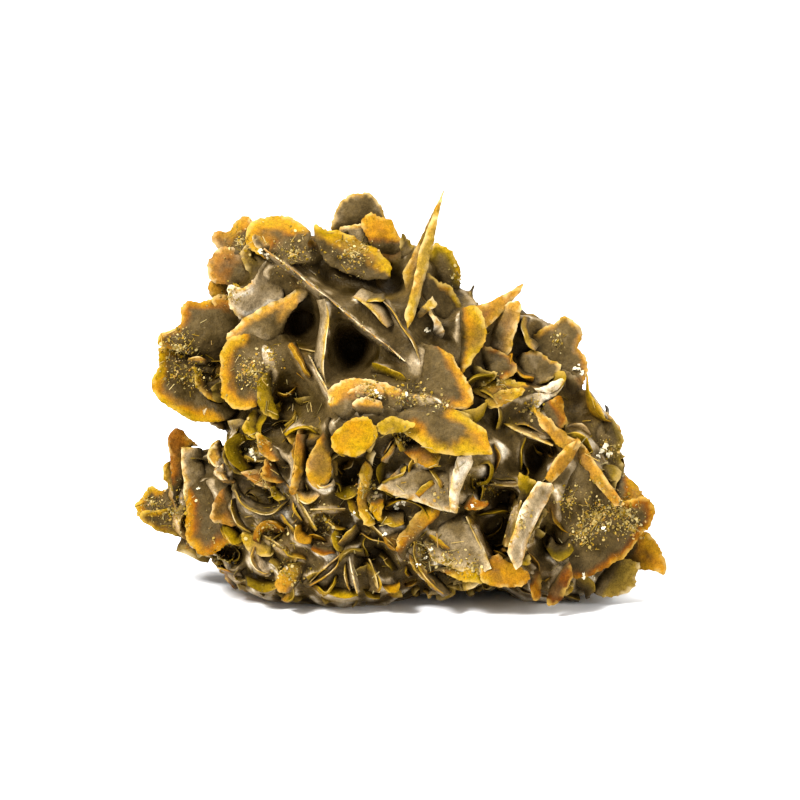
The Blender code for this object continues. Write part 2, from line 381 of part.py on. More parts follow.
def plate(thickness, depth, slope_across, slope_up, outline):
    """A blade that shows its face, as a slab with this outline on the show side."""
    middle = centre_of(outline)
    points = [
        Vector((a, u, depth + slope_across * (a - middle[0]) + slope_up * (u - middle[1])))
        for a, u in outline
    ]
    normal = Vector((-slope_across, -slope_up, 1)).normalized()
    return slab(points, normal, thickness)


def centre_of(outline):
    return tuple(sum(p[i] for p in outline) / len(outline) for i in range(2))


def support(number, depth, outline):
    """A crystal standing behind a plate, from the plate back into the mass, or None if it touches."""
    middle = centre_of(outline)
    mass = front_of_mass(*middle)
    if mass is None or depth > mass - 2.4:
        return None
    turned = number % 3 * math.pi / 3
    along = Vector((math.cos(turned), math.sin(turned), 0))
    half = 0.3 * min(max(p[i] for p in outline) - min(p[i] for p in outline) for i in range(2)) + 0.5
    front, rear = depth, mass + SUPPORT_REACH
    near, far = Vector((*middle, front)), Vector((*middle, rear))
    points = [near - along * half, near + along * half, far + along * half * 1.3, far - along * half * 1.3]
    return slab(points, along.cross(Vector((0, 0, 1))), SUPPORT_THICKNESS)


def ridge(thickness, start, end, back, bulge):
    """A blade that shows its edge: the edge runs from start to end, and the blade goes back from it."""
    start, end, back = Vector(start), Vector(end), Vector(back)
    forward = -back.normalized()
    points = [start + back, start]
    for share in (0.25, 0.5, 0.75):
        rise = bulge * math.sin(math.pi * share)
        points.append(start.lerp(end, share) + forward * rise)
    points += [end, end + back]
    return slab(points, (end - start).cross(back).normalized(), thickness)


def kept_behind_mass(centre, arm):
    """The end of a blade's arm, drawn in until the mass hides it from the show side."""
    share = 1.0
    while share > 0.15 and front_of_mass(*(centre + arm * share)[:2]) is None:
        share -= 0.1
    return centre + arm * share


def back_blade(surface, out, rng):
    """One of the blades round the sides and back: a many-cornered slab, rooted in the mass."""
    any_way = Vector((rng.uniform(-1, 1), rng.uniform(-1, 1), rng.uniform(-1, 1)))
    flat = out.cross(any_way).normalized()
    length, breadth = rng.uniform(*BACK_LENGTH), rng.uniform(*BACK_BREADTH)
    thickness = rng.uniform(*BACK_THICKNESS)
    if rng.random() < LYING_SHARE:
        across = out.cross(flat)
        steep = math.radians(rng.uniform(12, 30))
        upright = across * math.cos(steep) + out * math.sin(steep)
        centre = surface + out * 0.2
    else:
        upright = (out + any_way * 0.3).normalized()
        upright = (upright - flat * upright.dot(flat)).normalized()
        centre = surface + out * 0.6
    points = []
    for corner in range(BACK_CORNERS):
        angle = 2 * math.pi * corner / BACK_CORNERS
        stretch = rng.uniform(0.84, 1.08) / 2
        arm = flat * (length * stretch * math.cos(angle))
        arm += upright * (breadth * stretch * math.sin(angle))
        points.append(kept_behind_mass(centre, arm))
    return slab(points, flat.cross(upright).normalized(), thickness)


def lump(middle, radii):
    """One rounded swelling of the crystal mass."""
    bm = bmesh.new()
    bmesh.ops.create_icosphere(bm, subdivisions=LUMP_SUBDIVISIONS, radius=1)
    bmesh.ops.scale(bm, vec=radii, verts=bm.verts)
    bmesh.ops.translate(bm, vec=middle, verts=bm.verts)
    return bm


def resting():
    """The matrix from the show side's frame, in millimetres, to the resting specimen, in metres."""
    to_world = Matrix(
        (
            (1, 0, 0, 0),
            (0, math.sin(LEAN), math.cos(LEAN), 0),
            (0, math.cos(LEAN), -math.sin(LEAN), 0),
            (0, 0, 0, 1),
        )
    )
    down = Matrix.Translation((-BASE_MIDDLE[0], -BASE_MIDDLE[1], -BASE_LEVEL))
    return Matrix.Scale(MM, 4) @ down @ to_world


def shape(name, bm, collection):
    """Turns a bmesh in the show side's frame into an object where it rests."""
    bmesh.ops.transform(bm, matrix=resting(), verts=bm.verts)
    bmesh.ops.recalc_face_normals(bm, faces=bm.faces)
    mesh = bpy.data.meshes.new(name)
    bm.to_mesh(mesh)
    bm.free()
    obj = bpy.data.objects.new(name, mesh)
    collection.objects.link(obj)
    return obj


def helper(name, bm, collection):
    obj = shape(name, bm, collection)
    obj.hide_render = True
    obj.display_type = "WIRE"
    return obj


def crystals(collection):
    """Every blade, ridge, support and lump, as helpers that the union below joins."""
    for name, (middle, radii) in LUMPS.items():
        helper("lump_" + name, lump(middle, radii), collection)
    for number, (name, values) in enumerate(PLATES.items()):
        helper("plate_" + name, plate(*values), collection)
        behind = support(number, values[1], values[4])
        if behind is not None:
            helper("support_" + name, behind, collection)
    for name, values in RIDGES.items():
        helper("ridge_" + name, ridge(*values), collection)
    rng = random.Random(BACK_SEED)
    for number, (surface, out) in enumerate(bare_sites()):
        helper(f"back_{number:02d}", back_blade(surface, out, rng), collection)


def ground_cutter(collection):
    """A box whose top is the base cut."""
    bm = bmesh.new()
    bmesh.ops.create_cube(bm, size=1)
    bmesh.ops.scale(bm, vec=(0.2, 0.2, 0.06), verts=bm.verts)
    bmesh.ops.translate(bm, vec=(0, 0, -0.03), verts=bm.verts)
    mesh = bpy.data.meshes.new("ground_cutter")
    bm.to_mesh(mesh)
    bm.free()
    obj = bpy.data.objects.new("ground_cutter", mesh)
    obj.hide_render = True
    obj.display_type = "WIRE"
    collection.objects.link(obj)
    return obj


def islands(bm):
    """The separate closed shells of a mesh, as lists of faces."""
    left = set(bm.faces)
    while left:
        found, edge = [], [left.pop()]
        while edge:
            face = edge.pop()
            found.append(face)
            for line in face.edges:
                for other in line.link_faces:
                    if other in left:
                        left.remove(other)
                        edge.append(other)
        yield found


def signed_volume(faces):
    total = 0.0
    for face in faces:
        first = face.verts[0].co
        for one, two in zip(face.verts[1:], face.verts[2:]):
            total += first.dot(one.co.cross(two.co)) / 6
    return total


def without_sealed_voids(mesh):
    """Removes the shells that face inwards, which are gaps closed in between crossing crystals."""
    bm = bmesh.new()
    bm.from_mesh(mesh)
    for faces in list(islands(bm)):
        if signed_volume(faces) < 0:
            bmesh.ops.delete(bm, geom=faces, context="FACES")
    bm.to_mesh(mesh)
    bm.free()


def material():
    made = bpy.data.materials.new("wulfenite")
    made.use_nodes = True
    shader = made.node_tree.nodes["Principled BSDF"]
    shader.inputs["Base Color"].default_value = (0.46, 0.31, 0.09, 1)
    shader.inputs["Roughness"].default_value = 0.42
    shader.inputs["Metallic"].default_value = 0.0
    return made


def main():
    for obj in list(bpy.data.objects):
        bpy.data.objects.remove(obj)
    scene = bpy.context.scene.collection
    grown = bpy.data.collections.new("crystals")
    scene.children.link(grown)
    crystals(grown)

    cluster = shape("wulfenite_cluster", lump(*LUMPS["heart"]), scene)
    join = cluster.modifiers.new("grown_together", "BOOLEAN")
    join.operation, join.operand_type, join.collection = "UNION", "COLLECTION", grown
    cut = cluster.modifiers.new("base_cut", "BOOLEAN")
    cut.operation, cut.object = "DIFFERENCE", ground_cutter(scene)
    bpy.context.view_layer.update()
    graph = bpy.context.evaluated_depsgraph_get()
    joined = bpy.data.meshes.new_from_object(cluster.evaluated_get(graph))
    cluster.modifiers.clear()
    without_sealed_voids(joined)
    cluster.data = joined
    cluster.data.materials.clear()
    cluster.data.materials.append(material())


main()
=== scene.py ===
"""The looks of a wulfenite specimen: thin golden-rimmed blades grown through a grey, web-like mass.

Everything is laid out facing the show side, in millimetres: across (to the right), up, and depth (away
from the one who looks at it). It is then leaned to the angle at which it rests and put with the middle
of its box on the origin, +Z up, in metres.
"""

import math
import random
from itertools import product

import bmesh
import bpy
import numpy as np
from mathutils import Matrix, Vector, noise
from mathutils.bvhtree import BVHTree
from mathutils.geometry import delaunay_2d_cdt
from mathutils.kdtree import KDTree


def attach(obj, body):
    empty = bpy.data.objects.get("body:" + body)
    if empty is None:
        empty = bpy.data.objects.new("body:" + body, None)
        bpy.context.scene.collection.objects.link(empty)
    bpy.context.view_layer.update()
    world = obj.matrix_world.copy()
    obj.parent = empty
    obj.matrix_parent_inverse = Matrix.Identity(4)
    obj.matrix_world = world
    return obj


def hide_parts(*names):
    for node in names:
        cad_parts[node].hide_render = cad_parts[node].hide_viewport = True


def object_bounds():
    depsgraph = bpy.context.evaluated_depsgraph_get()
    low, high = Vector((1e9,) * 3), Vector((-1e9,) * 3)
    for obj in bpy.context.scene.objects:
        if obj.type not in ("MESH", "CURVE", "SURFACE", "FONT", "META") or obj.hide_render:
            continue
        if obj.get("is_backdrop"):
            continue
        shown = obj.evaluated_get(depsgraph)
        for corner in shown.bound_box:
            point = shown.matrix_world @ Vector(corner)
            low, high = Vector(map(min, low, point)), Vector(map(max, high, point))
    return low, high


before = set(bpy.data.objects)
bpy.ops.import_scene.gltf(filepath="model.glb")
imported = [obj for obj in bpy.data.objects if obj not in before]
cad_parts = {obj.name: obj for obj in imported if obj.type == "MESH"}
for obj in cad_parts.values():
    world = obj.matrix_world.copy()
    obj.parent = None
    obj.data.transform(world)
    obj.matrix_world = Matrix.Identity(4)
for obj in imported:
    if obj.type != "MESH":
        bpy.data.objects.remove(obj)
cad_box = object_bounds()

MM = 0.001
LEAN = math.radians(12)  # how far the show side faces up when the specimen rests
BASE_LEVEL = 0.6  # height of the base cut, once leaned
BASE_MIDDLE = (-0.12, 4.885)  # across and depth of the origin on the base cut

# The crystal mass under the blades: middle (across, up, depth) and radii of each lump.
LUMPS = {
    "heart": ((0, 18, 0), (22, 15, 14)),
    "upper_left": ((-14, 29, 0), (9, 9, 7.5)),
    "crown": ((-7, 40, 1), (12, 6, 5.5)),
    "saddle": ((1, 34, 0), (10, 7, 7)),
    "shoulder": ((14, 28, 1), (9, 8, 8)),
    "right": ((21, 15.5, -1), (6.8, 10.5, 9)),
    "lower_left": ((-20, 12, 2), (9.5, 7, 8.5)),
    "front_foot": ((-8, 5.8, -2.5), (14.5, 7.5, 11.5)),
    "right_foot": ((18.5, 6, -1), (8.5, 6.5, 10.5)),
    "back": ((0, 18, 9), (21, 15, 9)),
    "rear_foot": ((0, 8, 9), (19, 7.5, 9.5)),
}

# Blades that show a face: thickness, depth of the middle, slopes of the depth across and up, look (width
# of the golden rim, tone from 0 olive to 1 orange, paleness of the face, cup), and the outline.
PLATES = {
    "crown_crust": (1.3, -4, 0, 0.7, (2, 0.56, 0.1, 0.3), (
        (-19, 44), (-18.9, 46.5), (-17.5, 47.4), (-14.6, 48), (-12.5, 47), (-11.1, 45.4), (-11.6, 44.4),
        (-11, 42.3), (-13.8, 41.6), (-16.5, 42.6))),
    "crown_scale": (0.9, -3.6, 0.3, 0.4, (1.4, 0.7, 0.1, 0.2), (
        (-12.5, 45.2), (-10.3, 44.6), (-9.3, 43.5), (-9.4, 42.3), (-10, 41.5), (-12, 41), (-13, 43))),
    "corner_knobs_high": (1.5, -2.2, -0.3, 0.3, (2, 0.72, 0.3, 0.2), (
        (-23.3, 45), (-22.8, 46.1), (-21.5, 46.2), (-20.3, 47.4), (-18.3, 47.3), (-17, 44.5), (-18, 42.5),
        (-21, 43.5), (-22.5, 43.8))),
    "corner_knobs_low": (1.5, -2.5, -0.3, 0.2, (1.8, 0.75, 0.5, 0.2), (
        (-24, 40.6), (-24, 41.9), (-23.3, 42.8), (-22.5, 43.8), (-21.3, 44.1), (-19.6, 43.3), (-17.5, 41.5),
        (-17, 39.5), (-19.4, 38.8), (-22.3, 39.5), (-23.8, 40))),
    "corner_yellow_edge": (0.6, -4.6, 0.8, 0, (0.8, 0.45, 0.3, 0.1), (
        (-19.6, 43.3), (-18.9, 44.3), (-18, 43), (-17.4, 41.3), (-17.9, 40.1), (-18.9, 41.5))),
    "corner_beads": (1.6, -1, -0.2, 0, (2, 0.66, 0.3, 0.3), (
        (-23.8, 39.4), (-22.3, 40.2), (-19, 39), (-18, 36.5), (-21.3, 36.6), (-23.4, 38))),
    "pale_wall": (0.9, -5.2, 0.1, -0.4, (0.4, 0.5, 1, 0.2), (
        (-21.3, 39.3), (-19.4, 39), (-17.3, 41), (-15.6, 42), (-14.5, 39.4), (-15, 37.1), (-17.3, 35.9),
        (-19.4, 35), (-20.6, 35.9), (-21.4, 37.4))),
    "top_grey_plate": (1.2, 3, 0.1, -0.1, (0.25, 0.5, 0.45, 0.2), (
        (-8.6, 46), (-8.4, 47.8), (-7.9, 49.3), (-7.3, 50.1), (-6, 50.8), (-3.9, 51), (-2.9, 50.1),
        (-2.1, 48.5), (-1.6, 47), (-1.9, 44.6), (-3.8, 43.2), (-6.9, 43.4))),
    "crown_right_crust": (1.3, -0.6, 0.1, 0.5, (3, 0.68, 0.1, 0.3), (
        (-4.9, 47.1), (-3.8, 48.1), (-2.4, 47.5), (-1.1, 47.3), (0.1, 45.3), (0.8, 43.8), (0.3, 42.6),
        (-1.3, 42), (-3, 43.6), (-4.5, 45.6))),
    "crown_inner_wall": (0.9, -0.4, 0.2, 0.3, (0.4, 0.5, 0.4, 0.2), (
        (-7.8, 46), (-6.9, 46.6), (-4.4, 46.8), (-2.8, 45.4), (-1.5, 43.8), (-0.8, 41.5), (-0.5, 40),
        (-3, 40.5), (-6.5, 43.5))),
    "crown_mid_crust": (1.4, -4, 0.1, 0.6, (2.2, 0.5, 0, 0.3), (
        (-9.8, 43), (-10.9, 46), (-9.4, 46.1), (-7.5, 45.9), (-5.6, 45.5), (-3.3, 44.1), (-1.6, 42.3),
        (-1.1, 41), (-1.5, 39.5), (-4, 40.2), (-6.9, 41.2), (-8.4, 41.8))),
    "spike_left": (0.8, -6.4, -0.3, 0.1, (2, 0.56, 0.2, 0), (
        (5.6, 51.4), (3.8, 47.8), (2.5, 45), (1.2, 42.4), (0.3, 40.8), (0.9, 38), (2.3, 40), (3, 45),
        (4.4, 48.2))),
    "spike_right": (0.8, -8.6, 0.4, 0.22, (3, 0.5, 0.3, 0), (
        (5.6, 51.4), (5.1, 49.3), (4.6, 47), (4.2, 44.6), (3.6, 42.3), (3, 40), (2.4, 37.5), (1.8, 35.3),
        (0.9, 33.6), (0.5, 35.5), (1.5, 39), (2.5, 43.8), (4.2, 48.4))),
    "blade_behind_spike": (1.1, 0, 0.2, 0.1, (1, 0.4, 0, 0.2), (
        (3.7, 42.5), (4.3, 44.6), (5.5, 44.2), (6.5, 43.3), (7.4, 41.5), (7.6, 40.3), (7.3, 38), (6, 36),
        (3.8, 36.5))),
    "saddle_wall": (1, -5.5, 0.5, 0.3, (0.6, 0.5, 0.1, 0.2), (
        (1.3, 39), (3, 40.6), (4.5, 39.5), (6.1, 39), (7.2, 37.6), (7.7, 36), (7, 33.8), (5, 33.2),
        (3, 34.6), (1.8, 36.5))),
    "yellow_fin": (1, -9.2, -0.4, 0.1, (2, 0.5, 0.1, 0.3), (
        (7.8, 36.4), (9, 36.9), (9.7, 36.3), (10.2, 35), (10.4, 33.4), (10.1, 31.8), (9.2, 30.2), (7.9, 28),
        (7.1, 30), (6.4, 32.2), (6.3, 34.6))),
    "book_left": (0.9, -5.2, 0.1, 0.4, (1.6, 0.66, 0.2, 0.1), (
        (9.4, 36.6), (11.4, 37.3), (13.1, 38.3), (15.4, 39.4), (14.9, 38.4), (13.1, 36.3), (11.3, 34.4),
        (10, 33.2), (9.2, 35))),
    "book_right": (0.9, -5.4, -0.6, 0.2, (1.2, 0.58, 0.45, 0.1), (
        (13.2, 37), (14.5, 37.3), (14.9, 36.5), (14.4, 34.6), (13.6, 31.6), (12.6, 30), (10.6, 30.6),
        (10.2, 32.6), (11.6, 35.2))),
    "book_foot": (0.9, -2, 0.3, 0.2, (0.5, 0.55, 0.7, 0.1), (
        (13.4, 33.6), (14.8, 32.9), (16.3, 31.9), (16.5, 30), (13.1, 29.3), (12.2, 31.5))),
    "right_wing": (1.3, -1.6, 0.15, 0.1, (0.7, 0.62, 0.35, 0.3), (
        (14.6, 30.8), (16.3, 32.4), (17, 33.4), (19.1, 34.4), (20, 35.3), (21.3, 35), (22.4, 33.9),
        (22.6, 32.8), (22.3, 31.5), (23.3, 30.2), (22.8, 26.8), (20.5, 25.5), (17, 26.5))),
    "shadow_petal": (0.9, -3.8, 0.3, 0.4, (0.3, 0.5, 0.3, 0.3), (
        (14.2, 29.8), (14.9, 30.6), (16, 30.9), (17.5, 30.8), (18.8, 30.1), (19.9, 28.9), (18.8, 27.6),
        (16.6, 26.6), (14.6, 27.4))),
    "white_tongue": (0.8, -7.2, 0.3, 0.4, (0.3, 0.5, 1.1, 0.1), (
        (15.2, 25.2), (16.9, 26.3), (18.5, 27.1), (20.3, 27.6), (20.4, 26.7), (19.3, 25.6), (17.6, 24.4),
        (16.3, 23.2), (15.2, 23.8))),
    "lens_back": (0.9, -8.6, 0.1, 0.6, (1.3, 0.5, 0.1, 0.1), (
        (8.8, 26.3), (10.3, 27), (13.1, 27.9), (14.4, 27.3), (17, 26.5), (18.4, 26.3), (16.5, 25),
        (14, 24.6), (11.5, 25), (9.5, 25.6))),
    "lens_front": (0.9, -10.2, 0, 0.5, (1.6, 0.5, 0.1, 0.2), (
        (10.5, 24.9), (11.3, 25.8), (12.6, 26.4), (14.2, 26.5), (15.4, 26.1), (14, 25), (12.5, 24.3),
        (11.2, 24.2))),
    "rimmed_scale": (0.9, -6.6, 0, 0.4, (0.6, 0.75, 0.1, 0.1), (
        (9.6, 31.2), (10.4, 31.6), (12.8, 30.9), (13.9, 30.1), (14.6, 28.9), (13.1, 27.4), (11.3, 27.4),
        (9.2, 28.8))),
    "shoulder_slope": (1.2, -2.8, 0.5, 0.1, (0.6, 0.6, 0.5, 0.2), (
        (19.6, 28.6), (22.2, 27.8), (22.9, 26.3), (23.8, 24.8), (25, 23.8), (26.6, 22.5), (27.3, 21),
        (25.6, 19.8), (22.6, 20.8), (20, 23.6))),
    "right_knuckles": (1.5, -3.4, 0.2, -0.1, (0.9, 0.3, 0.2, 0.2), (
        (23.2, 22.2), (26, 22.7), (27.3, 21.3), (27.9, 19.8), (27.4, 18.4), (27.8, 16.5), (26.9, 15),
        (24, 15.3), (22.8, 18.8))),
    "v_upper_arm": (1, -9.8, 0.2, 0.6, (1.2, 0.6, 0.2, 0.1), (
        (16.6, 24), (18.5, 22.6), (21, 20.6), (22.4, 20), (21.3, 18.8), (19.6, 19.4), (17.4, 21.8))),
    "v_left_leg": (1, -11.6, 0.6, 0.2, (2.4, 0.66, 0.2, 0), (
        (22.2, 20.2), (22.4, 19.4), (21.3, 17.6), (19.8, 15.8), (18.6, 14.6), (17.9, 15.3), (18.9, 17.4),
        (20.6, 19.4))),
    "v_right_leg": (1, -10.6, -0.3, 0.3, (2.4, 0.7, 0.2, 0), (
        (22, 20.3), (22.9, 19.3), (25.3, 15.6), (27.8, 12.1), (26.6, 11.8), (24, 14.8), (21.4, 17.6))),
    "druse_plate": (1.3, -9.4, 0.25, -0.1, (0.8, 0.74, 0, 0.2), (
        (19.4, 16.5), (20.8, 17.5), (22, 17.3), (24.6, 14.8), (27.5, 12.6), (30, 13.1), (31.4, 11.8),
        (31.3, 10), (30, 8.1), (27.8, 5.6), (25, 4), (21.9, 2.8), (20.2, 5), (19.2, 9), (18.6, 14))),
    "druse_plate_flap": (0.9, -7.4, 0.3, 0.5, (2.2, 0.6, 0.1, 0.2), (
        (25.2, 15.4), (27.8, 15.4), (29, 14.9), (30, 13.8), (31.4, 11.8), (29.6, 11), (26.4, 12.4))),
    "tail_petal": (0.9, -4.2, 0.1, 0.2, (3, 0.68, 0.1, 0.2), (
        (25, 7.4), (28.3, 8), (30.4, 8.5), (31.4, 7.8), (32.4, 6.5), (33.1, 4.1), (32.7, 3.1), (31.3, 3.7),
        (28.5, 4.4), (25, 4.6))),
    "pale_foot_lump": (2.4, -5.5, 0.2, 0.1, (3, 0.25, 0.5, 0.3), (
        (23.6, 2.4), (25, 4.4), (27, 5.2), (29.6, 4.8), (29.2, 3.1), (29.1, 1.6), (27, 0.6), (24.6, 0.6))),
    "foot_brown_blade": (0.9, -12.4, -0.4, 0.3, (3, 0.95, 0, 0.1), (
        (18.4, -0.4), (18.1, 1.9), (18.8, 3.8), (20, 5), (21.2, 4.7), (21.4, 3), (20.6, 1.6), (19.6, 0.4))),
    "foot_orange_blade": (0.8, -12.2, 0.8, 0.1, (2, 0.85, 0, 0), (
        (16.4, 0.2), (16, 1.9), (16.4, 3.8), (17.1, 5.5), (17.4, 3.1), (17.2, 0.6))),
    "white_rib": (1.1, -16, 0.7, 0.2, (0.3, 0.6, 0.92, 0.1), (
        (16.9, 14.9), (18.6, 14.7), (18.9, 14), (18.1, 12.3), (16.3, 8.8), (15.5, 6.9), (14.9, 4.6),
        (14.2, 4.1), (13.1, 6.3), (13.6, 7.8), (14.8, 11.4))),
    "rib_petal": (0.9, -13.7, 0.35, 0.3, (2, 0.38, 0, 0.3), (
        (14.3, 15.8), (15.5, 15.4), (16.6, 14.8), (17.4, 13.4), (17.4, 12), (16.4, 11.2), (15.3, 12.2),
        (14.6, 13.8))),
    "centre_crust": (1.4, -16.2, -0.1, 0.45, (3.4, 0.64, 0.55, 0.2), (
        (-8.8, 26.1), (-7.6, 27), (-5.9, 27.6), (-3.8, 27.5), (-1.5, 27), (0.3, 26), (0.2, 24.4),
        (-1.9, 23.3), (-5, 22.6), (-7.8, 23.3), (-8.8, 24.6))),
    "crust_scale_high": (0.9, -17, 0, 0.3, (3, 0.7, 0.5, 0.1), (
        (-6.5, 25.9), (-4.9, 26.9), (-2.8, 26.9), (-1.9, 25.9), (-2.6, 24.7), (-5.3, 24.9))),
    "crust_scale_low": (0.9, -17.5, 0, 0.3, (3, 0.7, 0.5, 0.1), (
        (-5.8, 24.3), (-4.9, 25.1), (-3.5, 25.3), (-2.2, 24.7), (-2.4, 23.6), (-3.7, 23), (-5.2, 23.4))),
    "centre_slab": (1.5, -16.6, 0, 0.45, (1.6, 0.5, 0.1, 0.2), (
        (-1.8, 24), (-0.5, 25.4), (1.3, 25.9), (3.1, 25.8), (4.9, 24.9), (6.5, 24.1), (8.6, 22.7),
        (10.6, 21.1), (11.4, 18.1), (6.9, 18.2), (3.8, 18.6), (2.3, 19.8), (0.4, 21), (-1, 22.2))),
    "centre_oval": (1.2, -18.2, 0, 0.25, (4, 0.58, 0, 0.3), (
        (-8.6, 19.9), (-8, 21), (-7.1, 21.9), (-6, 22.5), (-4.8, 22.8), (-3.8, 22.5), (-3, 21.3),
        (-2.8, 20.3), (-3.5, 19.3), (-4.4, 18.5), (-5.6, 17.9), (-6.7, 18.2), (-8.2, 18.7))),
    "centre_lens": (0.9, -18, 0, 0.4, (4, 0.42, 0, 0.2), (
        (-3.1, 21.4), (-2.3, 22.5), (-1, 23), (0.4, 22.6), (1.9, 22), (0.6, 21.3), (-1, 21.1),
        (-2.3, 20.8))),
    "under_slab": (0.9, -15.2, 0, 0.5, (1.5, 0.62, 0.1, 0.2), (
        (-0.3, 20.8), (2, 20.4), (4.8, 18.9), (5, 17.6), (4.4, 16.7), (3.1, 16.9), (1.6, 17.8), (0.2, 19))),
    "left_tongue": (1.4, -17.8, 0.5, 0.1, (4, 0.6, 0.1, 0.2), (
        (-8.6, 22.7), (-9.2, 21.2), (-10.2, 19.6), (-11, 18), (-11.2, 16.3), (-11, 15), (-9.9, 14.1),
        (-8.8, 14.7), (-8.3, 15.9), (-8.5, 19), (-7.8, 21.3), (-7.8, 22.7))),
    "grey_sheet": (0.9, -14.6, 0, -0.1, (0.3, 0.5, 0.8, 0.1), (
        (-2.8, 14.1), (-1.2, 15.6), (0.4, 17), (2.8, 17.6), (6, 17.8), (7.4, 16.4), (7, 13.6), (6.9, 11.1),
        (5, 11.4), (2.5, 12.3), (0, 13))),
    "white_corner": (0.9, -15.4, 0.8, 0, (0.3, 0.5, 1.2, 0), (
        (7.1, 18), (8.8, 18.2), (9, 17.3), (8.3, 15.8), (7.6, 14.5), (7.2, 12.8), (7.1, 11), (6.2, 11.2),
        (6.1, 13.1), (6.4, 15.6))),
    "lower_arc": (1, -13.6, 0.1, 0.3, (1.6, 0.62, 0.1, 0.2), (
        (-0.5, 6.2), (-0.4, 7.5), (0.4, 8.9), (1.2, 10.1), (2.2, 11.1), (3.6, 11.8), (5, 11.4), (4.2, 10),
        (2.6, 8.6), (1.6, 6.4), (0.4, 5.4))),
    "lower_fan": (0.9, -13, 0, 0.2, (0.4, 0.4, 0.75, 0.2), (
        (3.4, 10.6), (5.6, 11.4), (7.3, 11.2), (8.2, 10.6), (9.3, 8.8), (10.3, 6.9), (11.3, 4.1),
        (9.8, 3.3), (7.2, 3.9), (4, 5.2), (2.8, 7.8))),
    "fan_rim": (0.9, -13.8, 0, 0.5, (2, 0.55, 0, 0.1), (
        (4, 5.5), (5.6, 4.9), (8, 4.2), (10.4, 3.4), (10.6, 2.7), (8.8, 2.4), (6.6, 3.2), (4.4, 4.2))),
    "bottom_orange": (1.1, -13.8, 0.1, 0.4, (4, 0.7, 0.1, 0.2), (
        (10.2, 4.6), (11.9, 6), (13.1, 5.2), (15.3, 4.1), (16.1, 3.1), (15.3, 2.2), (13.5, 1.9), (11.6, 2),
        (9.9, 2.8))),
    "curled_fin": (0.7, -13.6, 0.8, 0, (1.2, 0.5, 0.2, 0.2), (
        (1.3, 7.6), (2.1, 6.9), (2.6, 5.3), (3.6, 3.4), (4.6, 1.5), (3.7, 1.8), (2.4, 3.5), (1.5, 5.2))),
    "far_left_tip": (1.6, 2, -0.2, 0.3, (0.6, 0.5, 0, 0.2), (
        (-33.3, 11.8), (-32.5, 12.6), (-31.3, 14.1), (-30, 13.7), (-27.8, 13.6), (-25.5, 12), (-26.5, 9.6),
        (-30, 9.8), (-32.6, 10.8))),
    "tip_underside": (1.4, 0.6, 0.1, -0.2, (0.6, 0.5, 0, 0.2), (
        (-32.9, 11.1), (-30, 11.2), (-26.5, 11), (-25, 9), (-26, 7.6), (-28.1, 7.9), (-30.2, 8.7),
        (-32, 9.8))),
    "left_upright": (1.1, -2.6, 0.4, 0, (2.4, 0.82, 0.1, 0.2), (
        (-28.7, 20.9), (-27.9, 21.4), (-27, 21.1), (-26.4, 20.3), (-25.2, 19.4), (-26.6, 18.6),
        (-26.3, 15.6), (-25.6, 11.9), (-27.2, 11.7), (-28.3, 14), (-28.6, 16.9), (-28.9, 19.4))),
    "left_ear": (0.9, -1.4, 0.2, 0, (1.5, 0.5, 0.1, 0.2), (
        (-29.6, 15.3), (-29.6, 16.6), (-29, 17.3), (-27.8, 17.3), (-27.4, 14.8), (-28.3, 13.6),
        (-29, 14.4))),
    "left_pale_sheet": (0.9, -3.8, 0.2, 0.1, (0.6, 0.5, 0.7, 0.2), (
        (-27.3, 19.1), (-24.6, 19.1), (-23.2, 18), (-22.6, 16), (-24, 13.6), (-26.4, 11.6), (-27, 12.8),
        (-26.9, 15), (-27.3, 17.3))),
    "left_big_petal": (1.2, -6.6, -0.4, 0.1, (1.8, 0.7, 0, 0.4), (
        (-26.8, 11.2), (-26.4, 13.4), (-25.4, 14.6), (-24.3, 15.3), (-22.6, 15.2), (-21.8, 12.4),
        (-21, 9.6), (-21.1, 7.5), (-22.3, 6.4), (-23.8, 5.6), (-25, 6.2), (-26.3, 7.5), (-26.9, 9.2))),
    "left_peach_petal": (1, -8.4, 0.2, 0.2, (2.4, 0.78, 0.3, 0.3), (
        (-23.6, 11.4), (-22.8, 12.9), (-21.9, 14), (-20.7, 14.8), (-19.6, 14), (-19.8, 11.5), (-19.8, 9.4),
        (-21.9, 9.6), (-23.4, 9.9))),
    "left_low_petal": (0.9, -8, 0.1, 0.2, (2, 0.6, 0.1, 0.2), (
        (-22.3, 8.9), (-21.2, 9.9), (-19.4, 9.2), (-18.8, 7.4), (-20.3, 6.9), (-21.6, 7.6))),
    "left_yellow_ear": (0.9, -6.2, 0.2, 0.2, (1.6, 0.55, 0.2, 0.2), (
        (-23.9, 18.1), (-23.4, 19.5), (-22.5, 19.9), (-21.4, 19.2), (-21.2, 17.6), (-22.6, 16.6),
        (-23.6, 17.2))),
    "left_pink_ear": (0.9, -7.6, 0.2, 0.2, (1.6, 0.7, 0.4, 0.2), (
        (-23, 16.2), (-22.3, 17.2), (-21.3, 17.7), (-20.2, 16.8), (-20, 15), (-21.5, 14.6), (-22.6, 15.3))),
    "front_rib": (1.2, -11.6, 0.1, 0.5, (2.4, 0.58, 0.3, 0.3), (
        (-15.4, 1.9), (-15.1, 3.2), (-14.4, 4.2), (-13.1, 5.1), (-11.5, 5.9), (-9.7, 6.3), (-10.2, 5.2),
        (-11.6, 4), (-12.6, 2.6), (-13.6, 1.2), (-14.9, 0.9))),
    "striped_edge": (0.9, -11, 0.1, 0.8, (1.2, 0.85, 0.2, 0), (
        (-19.7, 16), (-18.1, 16.4), (-16, 16.3), (-13.6, 14.9), (-13, 13.8), (-15.6, 13.9), (-17.8, 14.5))),
    "white_rim_petal": (0.8, -10.2, 0.2, 0.2, (0.6, 0.5, 0.9, 0.2), (
